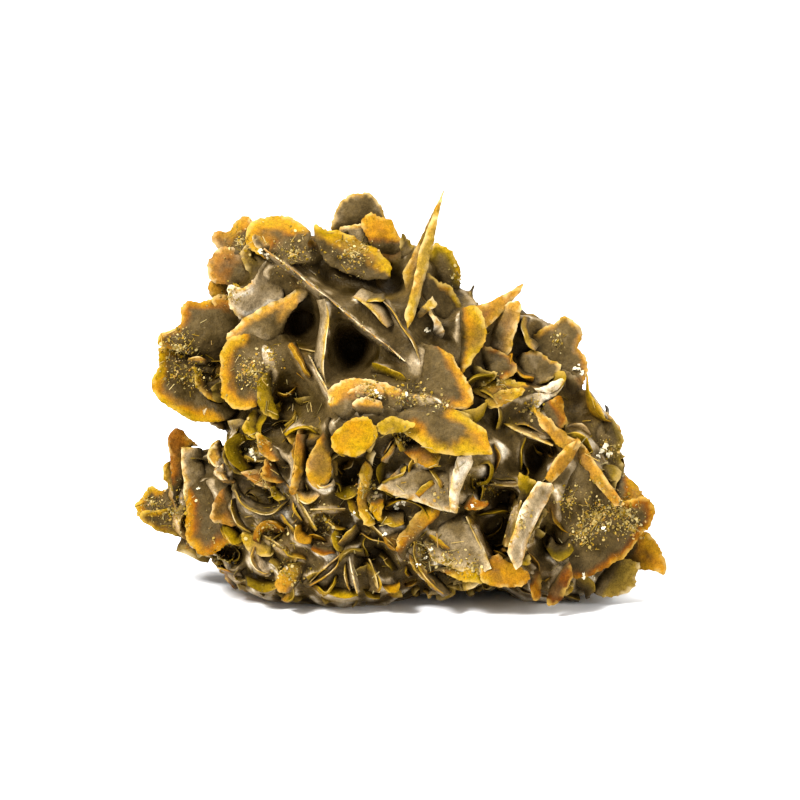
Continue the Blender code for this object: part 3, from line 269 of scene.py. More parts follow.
        (-18.2, 6.2), (-17.3, 6.9), (-16.2, 6.2), (-15.6, 4.6), (-16.3, 3.1), (-17.3, 3.6), (-18, 4.8))),
    "yellow_streak": (0.8, -10.4, 0.1, 0.3, (1.5, 0.45, 0.2, 0.1), (
        (-19.7, 8.2), (-18.8, 8.9), (-17, 8), (-15.6, 6.4), (-16.2, 5.6), (-18.2, 6.2), (-19.2, 7))),
    "upright_bar": (0.9, -14.2, 0.7, 0.1, (1.5, 0.7, 0.1, 0), (
        (-12.6, 21.4), (-11.7, 21.5), (-11.4, 20), (-12, 17), (-12.5, 14.8), (-13, 13.4), (-13.6, 14),
        (-13.2, 17.2))),
    "cross_leaf": (0.9, -13.6, 0, 0.4, (2, 0.5, 0.1, 0.2), (
        (-14.1, 20.9), (-12.8, 21.4), (-11.3, 21.6), (-9.7, 21.1), (-9.9, 19.2), (-11.4, 18.5),
        (-13.2, 19.3))),
    "pit_wall": (0.9, -11.6, 0.8, 0.1, (0.4, 0.5, 0.9, 0.1), (
        (-8.5, 36), (-7.5, 35.6), (-7.2, 33.1), (-7.6, 30.6), (-8.2, 27.8), (-9.4, 28.4), (-9.4, 30.6),
        (-8.9, 34))),
    "olive_face": (0.9, -9.8, 0.3, 0.4, (0.5, 0.4, 0.2, 0.2), (
        (-8.6, 37.6), (-6, 37.8), (-4.6, 37.1), (-3.2, 36), (-1.9, 34.7), (-0.8, 33), (0.1, 30.4),
        (-2.2, 31.4), (-5, 33.8), (-7.6, 36.2))),
    "brown_face": (0.9, -10.4, 0.6, 0.2, (0.5, 0.5, 0.2, 0.2), (
        (-1.9, 37.4), (-0.9, 36.3), (1, 32.8), (2, 31), (3.1, 28.9), (1.5, 28.2), (-0.3, 30.6),
        (-1.4, 34))),
    "mauve_petal": (1.1, -12, 0.1, 0.35, (1.3, 0.6, 0.25, 0.3), (
        (2.8, 31.8), (4.5, 31.6), (6.3, 30.4), (7.3, 29), (8.2, 27.5), (8.9, 25.8), (8.8, 24.3),
        (7.6, 23.6), (4.5, 24.4), (1.8, 26.2), (0.8, 28.8), (1.4, 30.8))),
    "shield": (1.2, -6.6, -0.1, 0.45, (0.9, 0.52, 0.55, 0.3), (
        (-21.4, 32.2), (-20.5, 33.9), (-19, 35.3), (-17.3, 36.4), (-15.4, 37.3), (-13.8, 38), (-11.5, 38.8),
        (-11.4, 37.4), (-13.2, 36.2), (-14.6, 34), (-15, 32), (-15.6, 30.6), (-18.4, 30.4))),
    "left_petal": (1.2, -9, -0.3, 0.1, (1.7, 0.58, 0.1, 0.3), (
        (-22.4, 30), (-22.2, 31.4), (-21.3, 32.3), (-20, 32.8), (-18.1, 33.1), (-16.5, 32.1), (-15.4, 30.6),
        (-15.2, 28.6), (-15.8, 26.4), (-17.2, 24.6), (-19, 23.7), (-20.6, 24), (-21.6, 25), (-22.3, 27))),
    "olive_band": (0.9, -10.6, 0.3, 0, (3, 0.26, 0, 0.3), (
        (-17.6, 25.6), (-17.5, 27.3), (-16.6, 28.5), (-15, 28.7), (-15.7, 27.3), (-15.6, 25), (-15.2, 22.8),
        (-16.5, 23), (-17.4, 24.2))),
    "ochre_leaf": (0.9, -9.8, 0.2, 0.1, (2, 0.4, 0, 0.2), (
        (-19.5, 21.4), (-19, 22.6), (-18.1, 23.8), (-17, 24.5), (-16.7, 23), (-17, 21.4), (-17.6, 20.3),
        (-18.8, 20.6))),
    "brown_leaf": (0.9, -10.4, 0.1, 0.3, (2, 0.4, 0, 0.2), (
        (-17.7, 20.2), (-17, 20.6), (-15.8, 19.8), (-14.4, 19.2), (-13.6, 17.4), (-14.3, 16.9), (-16, 17.3),
        (-17.1, 18.4))),
    "crescent": (0.9, -8.4, 0.4, 0, (1.6, 0.4, 0.1, 0.3), (
        (-21.9, 18.4), (-21.2, 20), (-19.6, 21.6), (-19.4, 20.6), (-19.6, 18.2), (-19.4, 15.9), (-20.6, 16),
        (-21.6, 17.2))),
    "left_wing_upper": (1.3, -2.4, 0.1, 0.25, (0.9, 0.66, 0.1, 0.2), (
        (-27.3, 34.8), (-27.3, 36.5), (-26.5, 37.3), (-25, 37.3), (-23.5, 37.6), (-21.6, 37.3), (-19, 35),
        (-18.5, 31), (-24.4, 30.2), (-27.6, 31.2), (-30.3, 31.8), (-29.8, 33.1), (-28.5, 33.7))),
    "left_wing_lower": (1.2, -2.4, 0.15, 0.3, (1.3, 0.52, 0, 0.3), (
        (-31, 27.3), (-30.1, 29), (-30.3, 31.2), (-28, 31.6), (-24, 31.4), (-19.5, 30), (-19, 25),
        (-20.6, 23), (-22.8, 22), (-24.4, 22), (-26.3, 22.4), (-27.8, 23.3), (-29.2, 24.1), (-30.5, 25.4))),
    "wing_fin": (0.9, -3.2, 0.5, 0.3, (1, 0.6, 0.1, 0.1), (
        (-25.9, 29.2), (-25, 28.4), (-23.6, 27.3), (-22, 25.2), (-22.4, 24.5), (-24, 25.4), (-25.4, 26.9))),
    "wing_pale_petal": (0.9, -2.5, 0.2, 0.2, (0.5, 0.5, 0.8, 0.2), (
        (-24.6, 23.5), (-22.8, 24), (-20.6, 23.2), (-20.6, 21.8), (-22.2, 21.3), (-23.8, 22.2))),
    "wing_wedge": (0.9, -1.6, 0.2, 0.4, (1.2, 0.7, 0.2, 0.1), (
        (-23.5, 37.7), (-21.8, 38), (-20, 36.6), (-19.6, 34.6), (-21.6, 35), (-23, 36.4))),
    "tall_yellow_bar": (0.9, -14.8, 0.7, 0, (2, 0.62, 0.1, 0.1), (
        (-4.9, 16.3), (-4.3, 17.4), (-3.6, 16.8), (-3.6, 15), (-3.8, 12.5), (-3.5, 9.9), (-4.5, 9.7),
        (-4.9, 11.9), (-5.1, 14.4))),
    "gold_facet": (0.9, -8, 0.3, 0.3, (2, 0.75, 0, 0.1), (
        (17.4, 24.4), (18.8, 25.1), (20.1, 25.6), (20.4, 23.8), (20.6, 22.2), (19.3, 21.2), (18.2, 22.6))),
}

# Blades seen on edge: thickness, the two ends of the edge (across, up, depth), the way back into the
# mass, and how far the edge bulges forwards.
RIDGES = {
    "long_edge": (0.9, (-16.9, 43.9, -7.5), (0.6, 29.8, -12.5), (0.3, -0.6, 6.5), 1.6),
    "web_edge": (0.7, (-11.4, 30.7, -10.5), (-8.3, 24.8, -15.5), (-0.6, -0.8, 5), 0.6),
    "web_brow": (0.7, (-13, 31.6, -9.5), (-9.5, 30.6, -11), (0.2, -1.2, 4.5), 0.4),
    "lower_diagonal": (0.8, (-13.6, 14.2, -12.5), (-10.2, 9, -14), (-0.8, -0.9, 4.5), 0.5),
    "left_diagonal": (0.8, (-18.2, 9.1, -10.2), (-12.7, 5.3, -12.8), (-0.8, -1.2, 4.5), 0.5),
    "thin_needle": (0.4, (-11.1, 11.5, -14.4), (-6.8, 11.6, -14.8), (0.1, -0.4, 3), 0.2),
    "right_needle": (0.6, (-3.7, 9.9, -14.2), (-0.2, 6.4, -13.6), (-0.6, -0.7, 4), 0.3),
    "low_left_edge": (0.7, (-11.2, 2.4, -12.4), (-6.8, 6.5, -13.6), (0.9, -0.9, 4), 0.4),
    "pale_stub": (0.8, (-6.4, 5.8, -13.4), (-5.4, 1.1, -13), (0.6, 0.2, 3.5), 0.4),
    "stub_right": (0.8, (-3.9, 5.4, -13.2), (-2.4, 1.2, -12.6), (-0.9, 0.3, 3.5), 0.6),
    "rib_edge": (0.5, (15, 12.6, -14.8), (13.4, 6.8, -14.6), (-0.8, 0.2, 4.5), 0.3),
    "pit_lip": (0.8, (12.8, 22, -9), (18.9, 19.4, -11), (0.3, 0.9, 4), 0.8),
    "pit_floor_edge": (0.7, (11, 14.6, -12), (15.2, 14.4, -13.6), (0.2, 1, 4), 0.5),
    "fan_edge": (0.6, (8.2, 10.6, -13.2), (11.2, 4.2, -13.4), (0.9, 0.4, 4), 0.2),
}

# Thin curved blades seen on their edge: thickness, depth of the edge, the way back into the mass,
# look (width of the golden rim, tone, paleness), and places along the edge.
CRESCENTS = {
    "low_left_cup": (0.6, -9.6, (1, 1, 3), (2, 0.35, 0), (
        (-22.2, 9.1), (-21.5, 7.8), (-20.6, 7.1), (-19.5, 7.4))),
    "olive_hoop": (0.7, -10.4, (1.4, 0, 3.5), (2.2, 0.25, 0), (
        (-20.2, 20.9), (-21.5, 19.8), (-21.6, 18.4), (-20.9, 17), (-19.6, 15.9))),
    "bowl_rim": (0.5, -12.6, (0.2, 1.4, 3), (0.9, 0.35, 0.6), (
        (-20.4, 13.5), (-19.6, 12.1), (-18.1, 11.2), (-16.8, 10.8), (-15.6, 11), (-14.5, 11.9),
        (-13.6, 12.5))),
    "bowl_left_rim": (0.6, -11.4, (1.6, 0.6, 3), (1, 0.42, 0.5), (
        (-21.1, 12.5), (-20.8, 10.9), (-20, 9.5), (-18.8, 8.5))),
    "orange_cap": (0.9, -12.6, (0.6, -1.6, 2.5), (2.2, 0.72, 0.1), (
        (-17.8, 8.5), (-17.4, 9.6), (-16.2, 10), (-14.6, 9.6))),
    "glass_bowl": (0.45, -14.6, (0.3, 1.6, 3), (0.8, 0.5, 0.7), (
        (-13.2, 13.9), (-12.5, 12.6), (-11.6, 12.1), (-10.6, 12.4), (-9.8, 13))),
    "right_bowl": (0.6, -14, (0.8, 1.2, 3), (1.2, 0.48, 0.1), (
        (-9.6, 11.2), (-9, 10), (-8, 9.1), (-6.9, 8.9))),
    "brown_ear": (0.6, -13.6, (1.4, 0.4, 3), (1.6, 0.3, 0), (
        (-8.2, 9), (-8.5, 7.9), (-8, 6.5), (-7.2, 6))),
    "ear_line": (0.4, -13.8, (0.4, -1, 3), (0.7, 0.5, 0.4), (
        (-5.5, 9.9), (-6.6, 8.6), (-7.9, 7.4))),
    "floor_blade": (0.5, -13.9, (-1.6, 0.6, 3.5), (0.8, 0.52, 0.4), (
        (-7, 6.4), (-7.6, 4.9), (-8.9, 3.4), (-10.8, 2))),
    "foot_arc": (0.7, -12.6, (0, 1.2, 3.5), (1.6, 0.34, 0), (
        (-10.1, 1.8), (-8.5, 0.8), (-6.9, 0.4), (-5.2, 0.5))),
    "foot_bowl": (0.6, -13.4, (-0.6, 1, 3), (1.4, 0.45, 0.1), (
        (-10.2, 1.9), (-9.2, 1.2), (-8.4, 2), (-7.8, 3.1))),
    "small_loop": (0.4, -14.8, (-0.8, -0.6, 2.5), (0.9, 0.4, 0.1), (
        (-9, 14.2), (-8.2, 14.8), (-7.5, 14.6), (-7.2, 13.6))),
    "olive_lens": (0.5, -14.9, (0, 1.3, 2.5), (1.5, 0.32, 0), (
        (-8.1, 13.2), (-7.6, 12.8), (-6.6, 12.8), (-5.6, 13), (-4.8, 13.4))),
    "short_sickle": (0.6, -14.6, (1, 0.8, 2.5), (1.4, 0.45, 0.1), (
        (-6.8, 12.6), (-6.2, 11.5), (-5.5, 10.8), (-4.9, 10.1))),
    "thin_sickle": (0.45, -14.2, (0.2, 1.4, 3), (0.9, 0.45, 0.1), (
        (-2.9, 10.2), (-1.8, 9.6), (-0.6, 9.4), (0.4, 9.5))),
    "long_line": (0.45, -14, (0.2, -1.4, 3.5), (0.7, 0.55, 0.4), (
        (-4.9, 8.9), (-3.4, 7.9), (-1.6, 7.2), (0, 6.1), (1.6, 5))),
    "post_right": (0.5, -14.4, (1.4, 0.2, 3), (1, 0.45, 0.3), (
        (1.5, 7.5), (1.6, 6), (2.5, 4), (3.8, 2.5), (5.1, 1.1))),
    "gold_slit": (0.6, -12.8, (0.2, -1.2, 2.5), (1.4, 0.42, 0), (
        (-3.5, 29.8), (-2.1, 29.2), (-0.6, 28.6), (0.8, 27.8))),
    "pale_drape": (0.5, -11.4, (1.4, 0.6, 3.5), (0.8, 0.45, 0.7), (
        (-6.1, 37.6), (-4.9, 37.1), (-3.8, 36.4), (-2.9, 35.4), (-1.9, 33.8))),
    "fin_edge": (0.5, -11.6, (-1, -0.6, 4), (0.6, 0.45, 0.7), (
        (-1.9, 37.4), (-0.8, 35.9), (0.2, 34.1), (1.4, 32.4), (2.2, 30.9), (3, 29.1))),
    "hole_brow": (0.5, -11.2, (0, 0.3, 3), (1, 0.4, 0.2), (
        (-4.6, 37.1), (-3.4, 37.2), (-1.8, 37.4))),
    "dark_hoop": (0.5, -12.4, (-0.8, -0.8, 3.5), (1, 0.38, 0.1), (
        (11.1, 15.5), (12.6, 15.2), (14.1, 15.1), (14.9, 14.2), (15, 12.9))),
    "cavity_brow": (0.5, -11.6, (0, 1.2, 3), (1.6, 0.3, 0), (
        (9.2, 10.4), (10.6, 10.9), (12.5, 11.1), (13.5, 10.9))),
    "left_of_cavity": (0.5, -10.4, (-1.2, 0, 3), (1.2, 0.38, 0), (
        (16, 21.2), (15.4, 19.9), (15.1, 18.1), (15.2, 16.2))),
    "cavity_hood": (0.5, -9.6, (-0.6, -1, 3.5), (0.8, 0.55, 0.4), (
        (14.2, 22), (15.8, 21.9), (17.2, 21.1), (18.5, 19.9), (19.1, 18.5))),
    "cavity_loop": (0.4, -8, (0.8, 0.4, 2), (0.8, 0.55, 0.2), (
        (16.1, 21), (16.4, 19.9), (17, 18.6), (17.6, 18.2))),
    "ring": (0.6, -13.2, (-0.6, -0.4, 2.5), (1.3, 0.4, 0), (
        (8.9, 16.5), (10, 17.1), (11, 17.1), (11.1, 16.1), (10.6, 15.2), (9.6, 15))),
    "ring_side": (0.5, -12.8, (0.8, 0.2, 2.5), (1.2, 0.42, 0), (
        (8.9, 16.2), (8.9, 15), (9.2, 13.8))),
    "orange_sickle": (0.7, -10.6, (1.3, 0.6, 2.5), (1.8, 0.68, 0), (
        (18.2, 12.1), (18.9, 10.5), (19.8, 9.1), (20.8, 8.4))),
    "nest_a": (0.4, -9.4, (0.2, 1, 2.5), (0.9, 0.3, 0), (
        (17.6, 7.6), (18.1, 6.8), (19.1, 6.4), (20.2, 6.5))),
    "nest_b": (0.4, -9, (0.2, 1, 2.5), (0.8, 0.32, 0), (
        (18.1, 8.2), (18.8, 7.4), (19.8, 7), (20.6, 7.2))),
    "nest_c": (0.4, -8.8, (0.2, 0.9, 2.5), (0.8, 0.28, 0), (
        (17.1, 9.1), (17.9, 8.6), (19, 8.8), (20, 9.2))),
    "sprig": (0.35, -4.6, (0.2, -0.6, 2), (0.6, 0.55, 0.3), (
        (-26.5, 30), (-25.5, 30.4), (-24.1, 30.2))),
    "left_ring": (0.5, -10.2, (-0.8, 0, 2.5), (1.3, 0.34, 0), (
        (-17.2, 24), (-16.5, 23.2), (-17.1, 21.6), (-17.4, 20.4), (-18.8, 20.2))),
    "top_arc": (0.6, -14.4, (0, -1, 2.5), (1.8, 0.42, 0), (
        (-14.1, 20.8), (-12.6, 21.5), (-11.1, 21.5), (-9.8, 20.9))),
    "flame": (0.7, -12.2, (0.8, 0.2, 2.5), (1.6, 0.5, 0.2), (
        (-13.8, 32), (-13, 31), (-12.1, 29.5), (-11.2, 27.9))),
    "arch_left": (0.35, -16.2, (0.8, 0, 2.5), (0.8, 0.42, 0.2), (
        (-1.1, 20.8), (-0.5, 19.9), (-0.2, 18.6))),
    "arch_line": (0.35, -16, (0.6, 0.2, 2.5), (0.6, 0.46, 0.5), (
        (-1, 19.8), (-1.6, 18.6), (-2.4, 17.4))),
    "sheet_scallop": (0.5, -15.4, (-0.4, -1.2, 1.5), (1.2, 0.42, 0.3), (
        (-2, 15.1), (-0.5, 15.6), (0.6, 16.2), (0.9, 17.2))),
    "sheet_line": (0.4, -15.6, (0.4, -0.4, 2), (1, 0.5, 0.2), (
        (1.8, 13.5), (2.8, 14.4), (3.9, 15.2))),
    "sheet_side": (0.35, -15.4, (0.8, 0, 2), (0.6, 0.45, 0.3), (
        (3.4, 16.4), (4.2, 15.4), (4.9, 14.1))),
    "fan_streak": (0.35, -14.6, (0.3, -0.6, 2.5), (0.8, 0.5, 0.2), (
        (3.6, 8.5), (4.8, 7.8), (6.1, 6.8))),
    "small_rim_low": (0.5, -11.4, (1.4, 0.6, 2.5), (0.8, 0.45, 0.8), (
        (-18.4, 6.6), (-18.5, 5.2), (-17.9, 4.1), (-16.5, 3.4))),
    "left_foot_hoop": (0.5, -6.8, (0.2, 1.2, 2.5), (1.2, 0.28, 0), (
        (-23.2, 6), (-22.2, 5.2), (-21.1, 4.9), (-20.5, 5.5))),
    "left_foot_hoop_b": (0.5, -7.6, (-0.8, 0.6, 2.5), (1.2, 0.28, 0), (
        (-20.5, 6.9), (-19.9, 6.1), (-19.9, 5.2), (-20.5, 4.8))),
    "needle_a": (0.3, -13, (0.3, -0.4, 2), (0.5, 0.45, 0.3), (
        (-14.8, 11), (-13.8, 9.9), (-12.8, 8.6))),
    "needle_b": (0.3, -13.6, (0.6, 0, 2), (0.6, 0.45, 0.3), (
        (-13.4, 12.5), (-13, 11.4), (-12.2, 10.1))),
    "needle_c": (0.25, -15.8, (0.4, 0, 2), (0.4, 0.5, 0.5), (
        (-2, 18.1), (-1.5, 19.1), (-1, 20.2))),
    "stub_left_edge": (0.45, -13.6, (-0.6, 0.2, 3), (0.9, 0.48, 0.4), (
        (-6.5, 5), (-6.9, 3.6), (-6.5, 2.2), (-6.1, 1.4))),
    "stub_right_edge": (0.5, -13.4, (-1, 0, 3), (1.2, 0.55, 0.1), (
        (-3.8, 5), (-3, 3.8), (-2.2, 2.2), (-2.4, 1.2))),
    "upright_edge": (0.6, -15, (1.4, 0, 2.5), (1.2, 0.66, 0.3), (
        (-12.9, 20.8), (-13, 19), (-13.1, 17.2), (-13.4, 15.4), (-13.6, 13.9))),
    "tongue_lip": (0.5, -18.4, (0.4, 0.8, 2), (0.5, 0.5, 1), (
        (-11.1, 16), (-10.5, 14.9), (-9.5, 14.1), (-8.5, 14.5))),
    "web_fold": (0.5, -13.4, (-0.4, 0, 4), (0.6, 0.42, 0.8), (
        (-9.2, 37.5), (-8.8, 35.2), (-9.2, 31.9), (-9.5, 29.4), (-9, 26.8), (-8, 24.9))),
}

# Small blades that show a face, as the PLATES.
FLAKES = {
    "pale_scale": (0.7, -9.4, 0.3, 0.2, (1.6, 0.55, 0.6, 0.3), (
        (-24, 18.2), (-23.4, 19.2), (-22.6, 19.9), (-21.8, 19.4), (-21.5, 18.5), (-22.2, 17.9),
        (-22.8, 16.6), (-23.6, 17.2))),
    "white_scale": (0.6, -9.8, 0.1, 0.2, (0.9, 0.5, 0.8, 0.3), (
        (-23, 16.1), (-22.2, 16.9), (-21.6, 17.4), (-21.4, 16.2), (-20.8, 15.2), (-22, 15), (-22.8, 15.5))),
    "left_lens": (0.8, -13.6, 0, 0.5, (2, 0.7, 0.1, 0.3), (
        (-17.8, 20.5), (-16.6, 20.1), (-15.5, 19.6), (-14.5, 18.8), (-13.8, 17.5), (-15.4, 17.4),
        (-16.5, 17.9), (-17.4, 18.8))),
    "box_facet": (0.6, -12.6, -0.2, 0.6, (1.6, 0.8, 0, 0.3), (
        (-16.4, 17.4), (-14.6, 17.1), (-13.8, 14.5), (-15.4, 14.9), (-16.9, 15.2))),
    "knob_facet": (0.5, -13.6, 0.2, 0.2, (1.4, 0.4, 0, 0.3), (
        (-16, 14), (-15, 14.4), (-14, 13.9), (-14.2, 12.9), (-15.2, 12.5), (-15.9, 13.1))),
    "gold_tab": (0.6, -15, 0.4, 0.1, (2.4, 0.62, 0, 0.3), (
        (-3.4, 12.5), (-3, 13.2), (-2.5, 13.5), (-2, 12.6), (-2.1, 11.4), (-2.5, 10.2), (-3.1, 10.8),
        (-3.5, 11.6))),
    "brown_tab": (0.6, -13.8, 0.3, 0.1, (2, 0.66, 0, 0.3), (
        (-2, 8.1), (-1.5, 9), (-0.8, 9.1), (-0.1, 8.4), (-0.2, 7.4), (-0.6, 6.4), (-1.5, 6.8))),
    "dark_lens": (0.7, -14.6, 0.1, 0.3, (2.2, 0.8, 0, 0.3), (
        (7.6, 13.1), (8.4, 13.6), (9.4, 13), (10.8, 12), (10.1, 11.6), (8.8, 11.6), (8, 12.2))),
    "tan_disk": (0.7, -7.4, 0, 0.2, (2.2, 0.5, 0.5, 0.3), (
        (-20.5, 2.9), (-20, 3.5), (-19.2, 3.5), (-18.8, 2.9), (-19.1, 2.4), (-20, 2.4))),
    "grey_plate": (0.7, -3, 0.2, 0.2, (0.6, 0.4, 0.2, 0.3), (
        (0.1, 45.5), (1, 45), (1.8, 44.1), (1.5, 43), (0.6, 42.2), (0.1, 43.8))),
    "pale_chip": (0.6, -11, 0.2, 0.3, (1.2, 0.45, 0.5, 0.3), (
        (2.5, 35.9), (3.1, 36.9), (3.9, 37.6), (4.4, 36.6), (3.6, 36))),
    "grey_fold": (0.7, -8.8, 0.1, 0.4, (0.8, 0.35, 0.1, 0.3), (
        (8.4, 26.5), (8.8, 27.8), (9.2, 29.1), (10.8, 28.5), (12.1, 28), (10.6, 26.9))),
    "white_nub": (0.8, -7.4, 0.3, 0.3, (0.4, 0.5, 0.5, 0.3), (
        (-18.6, 44.9), (-17.9, 45.3), (-16.7, 44.8), (-16.1, 44), (-16.4, 43.2), (-17.5, 43.7))),
    "white_stick": (0.35, -9.2, 0.2, 0.2, (0.3, 0.5, 0.8, 0), (
        (3.5, 35.9), (3.9, 36.1), (5, 34.6), (5.6, 33.1), (5.2, 33), (4.3, 34.5))),
    "small_ear": (0.5, -12.8, 0.2, 0.2, (1.4, 0.4, 0.1, 0.3), (
        (14.9, 5.5), (15.5, 6.1), (16.2, 5.5), (16, 4.6), (15.1, 4.8))),
    "under_chip": (0.6, -12, 0, 0.4, (2, 0.6, 0, 0.3), (
        (-2.1, 2.4), (-1.1, 2.9), (-0.1, 2.5), (-0.2, 1.2), (-1.2, 0.9), (-2, 1.5))),
}

# Hollows between the blades, which the skin sinks into and which get painted shade: across, up, half breadth,
# half height, how much deeper they go.
PITS = (
    (-8.2, 40.2, 2, 1.2, 7), (-4, 39.1, 2.5, 1.5, 7), (-12.6, 40.6, 1.6, 1.2, 5),
    (-11.8, 36.2, 2, 1.6, 7), (-5.6, 31.9, 2.1, 2.4, 7), (-2.6, 36.1, 1.4, 1.2, 8),
    (-0.5, 39, 1.1, 1, 5), (4.4, 33.5, 1.2, 1.6, 6), (-11.3, 32.8, 2, 2, 7),
    (-6.2, 16.5, 1.9, 1.4, 6),
    (13.1, 13.5, 1.4, 1.3, 5), (12.9, 8.8, 1.2, 1.8, 3), (16.8, 17.8, 1.1, 2.1, 7),
    (-2.8, 5.5, 1.6, 2.1, 6), (-7, 11, 1.1, 0.9, 4), (-15.5, 12.6, 1.2, 0.9, 4),
    (-21, 6, 1.5, 1.1, 4), (-1.6, 12.6, 1, 1.2, 5), (-10, 42.2, 1.8, 1.2, 3),
    (3, 1.9, 1.5, 0.9, 5), (-3.1, 8.1, 1.5, 1, 5), (-12.5, 16.2, 0.9, 1.5, 3),
    (17.5, 19.4, 1, 1, 3), (-1.4, 41, 1.2, 0.9, 5), (-14.5, 24.6, 1.3, 1.6, 3),
)
# Where the mass swells between them: across, up, half breadth, half height, how far.
SWELLS = (
    (11.2, 18.6, 3.2, 2.4, 3.4), (9.9, 15.8, 1.8, 1.7, 3.4), (23, 24.8, 3.4, 3.4, 2.2),
    (-14, 22.6, 3.4, 2, 1.2), (-19, 14.6, 2.4, 1.6, 1.4), (-8.6, 4.6, 2.4, 1.8, 1.2),
)

DRAPED = ("pit_wall", "olive_face", "brown_face")  # these are folds of the skin
SHARP = ("spike_left", "spike_right", "book_left", "v_left_leg", "v_right_leg", "striped_edge")
STRAIGHT = SHARP + (
    "centre_slab", "grey_sheet", "white_corner", "lower_fan", "left_pale_sheet", "white_rib",
)
# The blades that stand free all round, and the side of the others that stands free, in degrees from
# the right. The rest stand free on the side away from the specimen's middle.
ALL_ROUND = SHARP + (
    "centre_oval", "centre_lens", "white_corner", "lens_front", "yellow_streak", "upright_bar",
    "tall_yellow_bar", "corner_yellow_edge", "v_upper_arm", "white_rib", "bottom_orange", "book_right",
)
FREE_SIDES = {
    "centre_slab": 285, "left_wing_lower": 205, "lower_arc": 130, "yellow_fin": 0, "olive_band": 200,
    "left_petal": 190, "left_upright": 120, "pale_wall": 240, "crown_mid_crust": 60, "front_rib": 150,
    "under_slab": 300, "rib_petal": 60, "wing_fin": 210, "lens_back": 120, "white_tongue": 20,
    "cross_leaf": 100, "left_wing_upper": 120, "curled_fin": 250, "gold_facet": 20,
    "crown_inner_wall": 90, "grey_sheet": 265, "left_big_petal": 225, "right_wing": 45,
    "mauve_petal": 345,
}
OVERHANGING = ("crown_mid_crust", "crown_crust")  # their roots stand clear of the mass
ROOTLESS = ("top_grey_plate",)  # seen from both sides, so only their foot is in the mass
MIDDLE = (-4.0, 22.0)
SUNK_ROOT = 2.2  # how far a blade's root lies behind its free side
OVERHANGING_SUNK = 0.3  # the same where the blade overhangs
THINNED = 0.8  # share of the thickness above that a blade gets
CUP_DEPTH = 1.3  # how far behind its plane the root of a fully dished blade lies
CURVE_STEPS = 8  # places between two corners of an outline, before it is spaced evenly
BLADE_STEP = 0.55  # distance between the points of a blade's mesh
# Looks of the blades seen on edge, as in PLATES. The ones without a row here look plain.
PLAIN_RIDGE = (1.4, 0.5, 0.3, 0)
RIDGE_LOOKS = {
    "long_edge": (0.5, 0.78, 0.8, 0),
    "web_edge": (0.6, 0.45, 0.8, 0),
    "pale_stub": (0.5, 0.45, 1, 0),
}

CORE_SUNK = 3.6  # how far the core lies under the blades' roots
WALL_CELL = 4.8  # width of the pits in the mass
WALL_HEIGHT = 3.6
ROOT_SHARE = 0.70  # how much of a blade's breadth is melted into the mass
ROOT_THICKNESS = 0.7
VOXEL = 0.44
MELT = (0.35, 0.9)  # radius of the fillets where blades meet, low and high on the specimen
SKIN_CELL = 0.4  # the skin that hangs between the blades on the show side
SKIN_BACK = 4.0
SKIN_FLOOR = (3.5, 4.6)  # how far under the lumps the skin can sink, low and high on the specimen
SKIN_SAG = (1.3, 0.55)  # how fast it falls away from the blades, low and high on the specimen
SKIN_ROUNDS = 900  # steps in which it comes to rest
PIT_RAYS = 9  # rays that find how closed in a place is, for the painted shade, and how far they reach
FEW_RAYS = 4
PIT_REACH = 8.0
SITES_PER_LUMP = 300
SITE_SPACING = 8.1  # between the larger blades of the rear
CLOSE_SPACING = 5.0  # between the smaller ones among them
FRAME_WIDTH = 0.1  # metres that the camera sees across
IN_FRONT = -60.0  # depth from which rays look at the show side
VIEW_MIDDLE = (0.0, 25.0, 0.0)

SEED = 7
BANDS = (0.8, 1.6, 2.6, 4.0)  # widths of the golden rims of scattered blades
EDGE_BANDS = (0.6, 0.9, 1.4, 2.2)  # the same for scattered blades seen on edge
WILD_TRIES = 2500
WILD_SPACING = (1.9, 4.5)  # low and high on the specimen

# Small blades: how close they stand, low on the show side and elsewhere, and how big they are.
NEST_SPACING = 1.55
BARE_SPACING = 3.1
NEST_RADIUS = (0.8, 2.6)
LEAF_CORNERS = 14
LEAF_RING = 0.62

# Patches of sugary grains on the show side: across, up, radius, grains.
DRUSE = (
    (-13.5, 43, 3.4, 260), (-6, 42.8, 2.6, 220), (-4.5, 44, 1.6, 90), (-21, 38, 1.8, 90),
    (-18.5, 28.5, 3.2, 330), (-16, 30.6, 1.6, 90), (-27.3, 31.5, 3.6, 330), (-25.6, 28, 2.2, 150),
    (-28, 28, 2.4, 90), (-28, 11, 3.6, 260), (-31, 12, 2, 120), (-22.5, 5.4, 2.6, 200),
    (-18, 18.6, 2.4, 130), (-16, 9.5, 3, 150), (-14, 3.5, 3, 170), (-3.4, 26, 1.8, 150),
    (0.6, 25.6, 1.8, 150), (3, 25.3, 1.8, 110), (5.4, 24.4, 1.4, 60), (0, 20, 1.8, 90),
    (-4.5, 14, 2, 110), (2.6, 6.2, 2.4, 170), (6, 5, 2.2, 160), (9, 4.4, 1.8, 130),
    (24.5, 10.5, 3.4, 520), (27.5, 11, 2.8, 360), (29, 9, 1.8, 130), (22.4, 8.5, 2.2, 200),
    (21, 12.5, 2, 120), (16.5, 24, 2.2, 130), (12.5, 27, 1.6, 80), (26, 18.5, 2, 120),
    (19.8, 32.4, 1.4, 50), (7.2, 40.6, 1.2, 60), (15, 10, 2.4, 110), (11, 14, 2.4, 100),
    (-9, 10, 3, 150), (-20, 44.6, 2.6, 130), (5, 13.6, 1.4, 30),
)
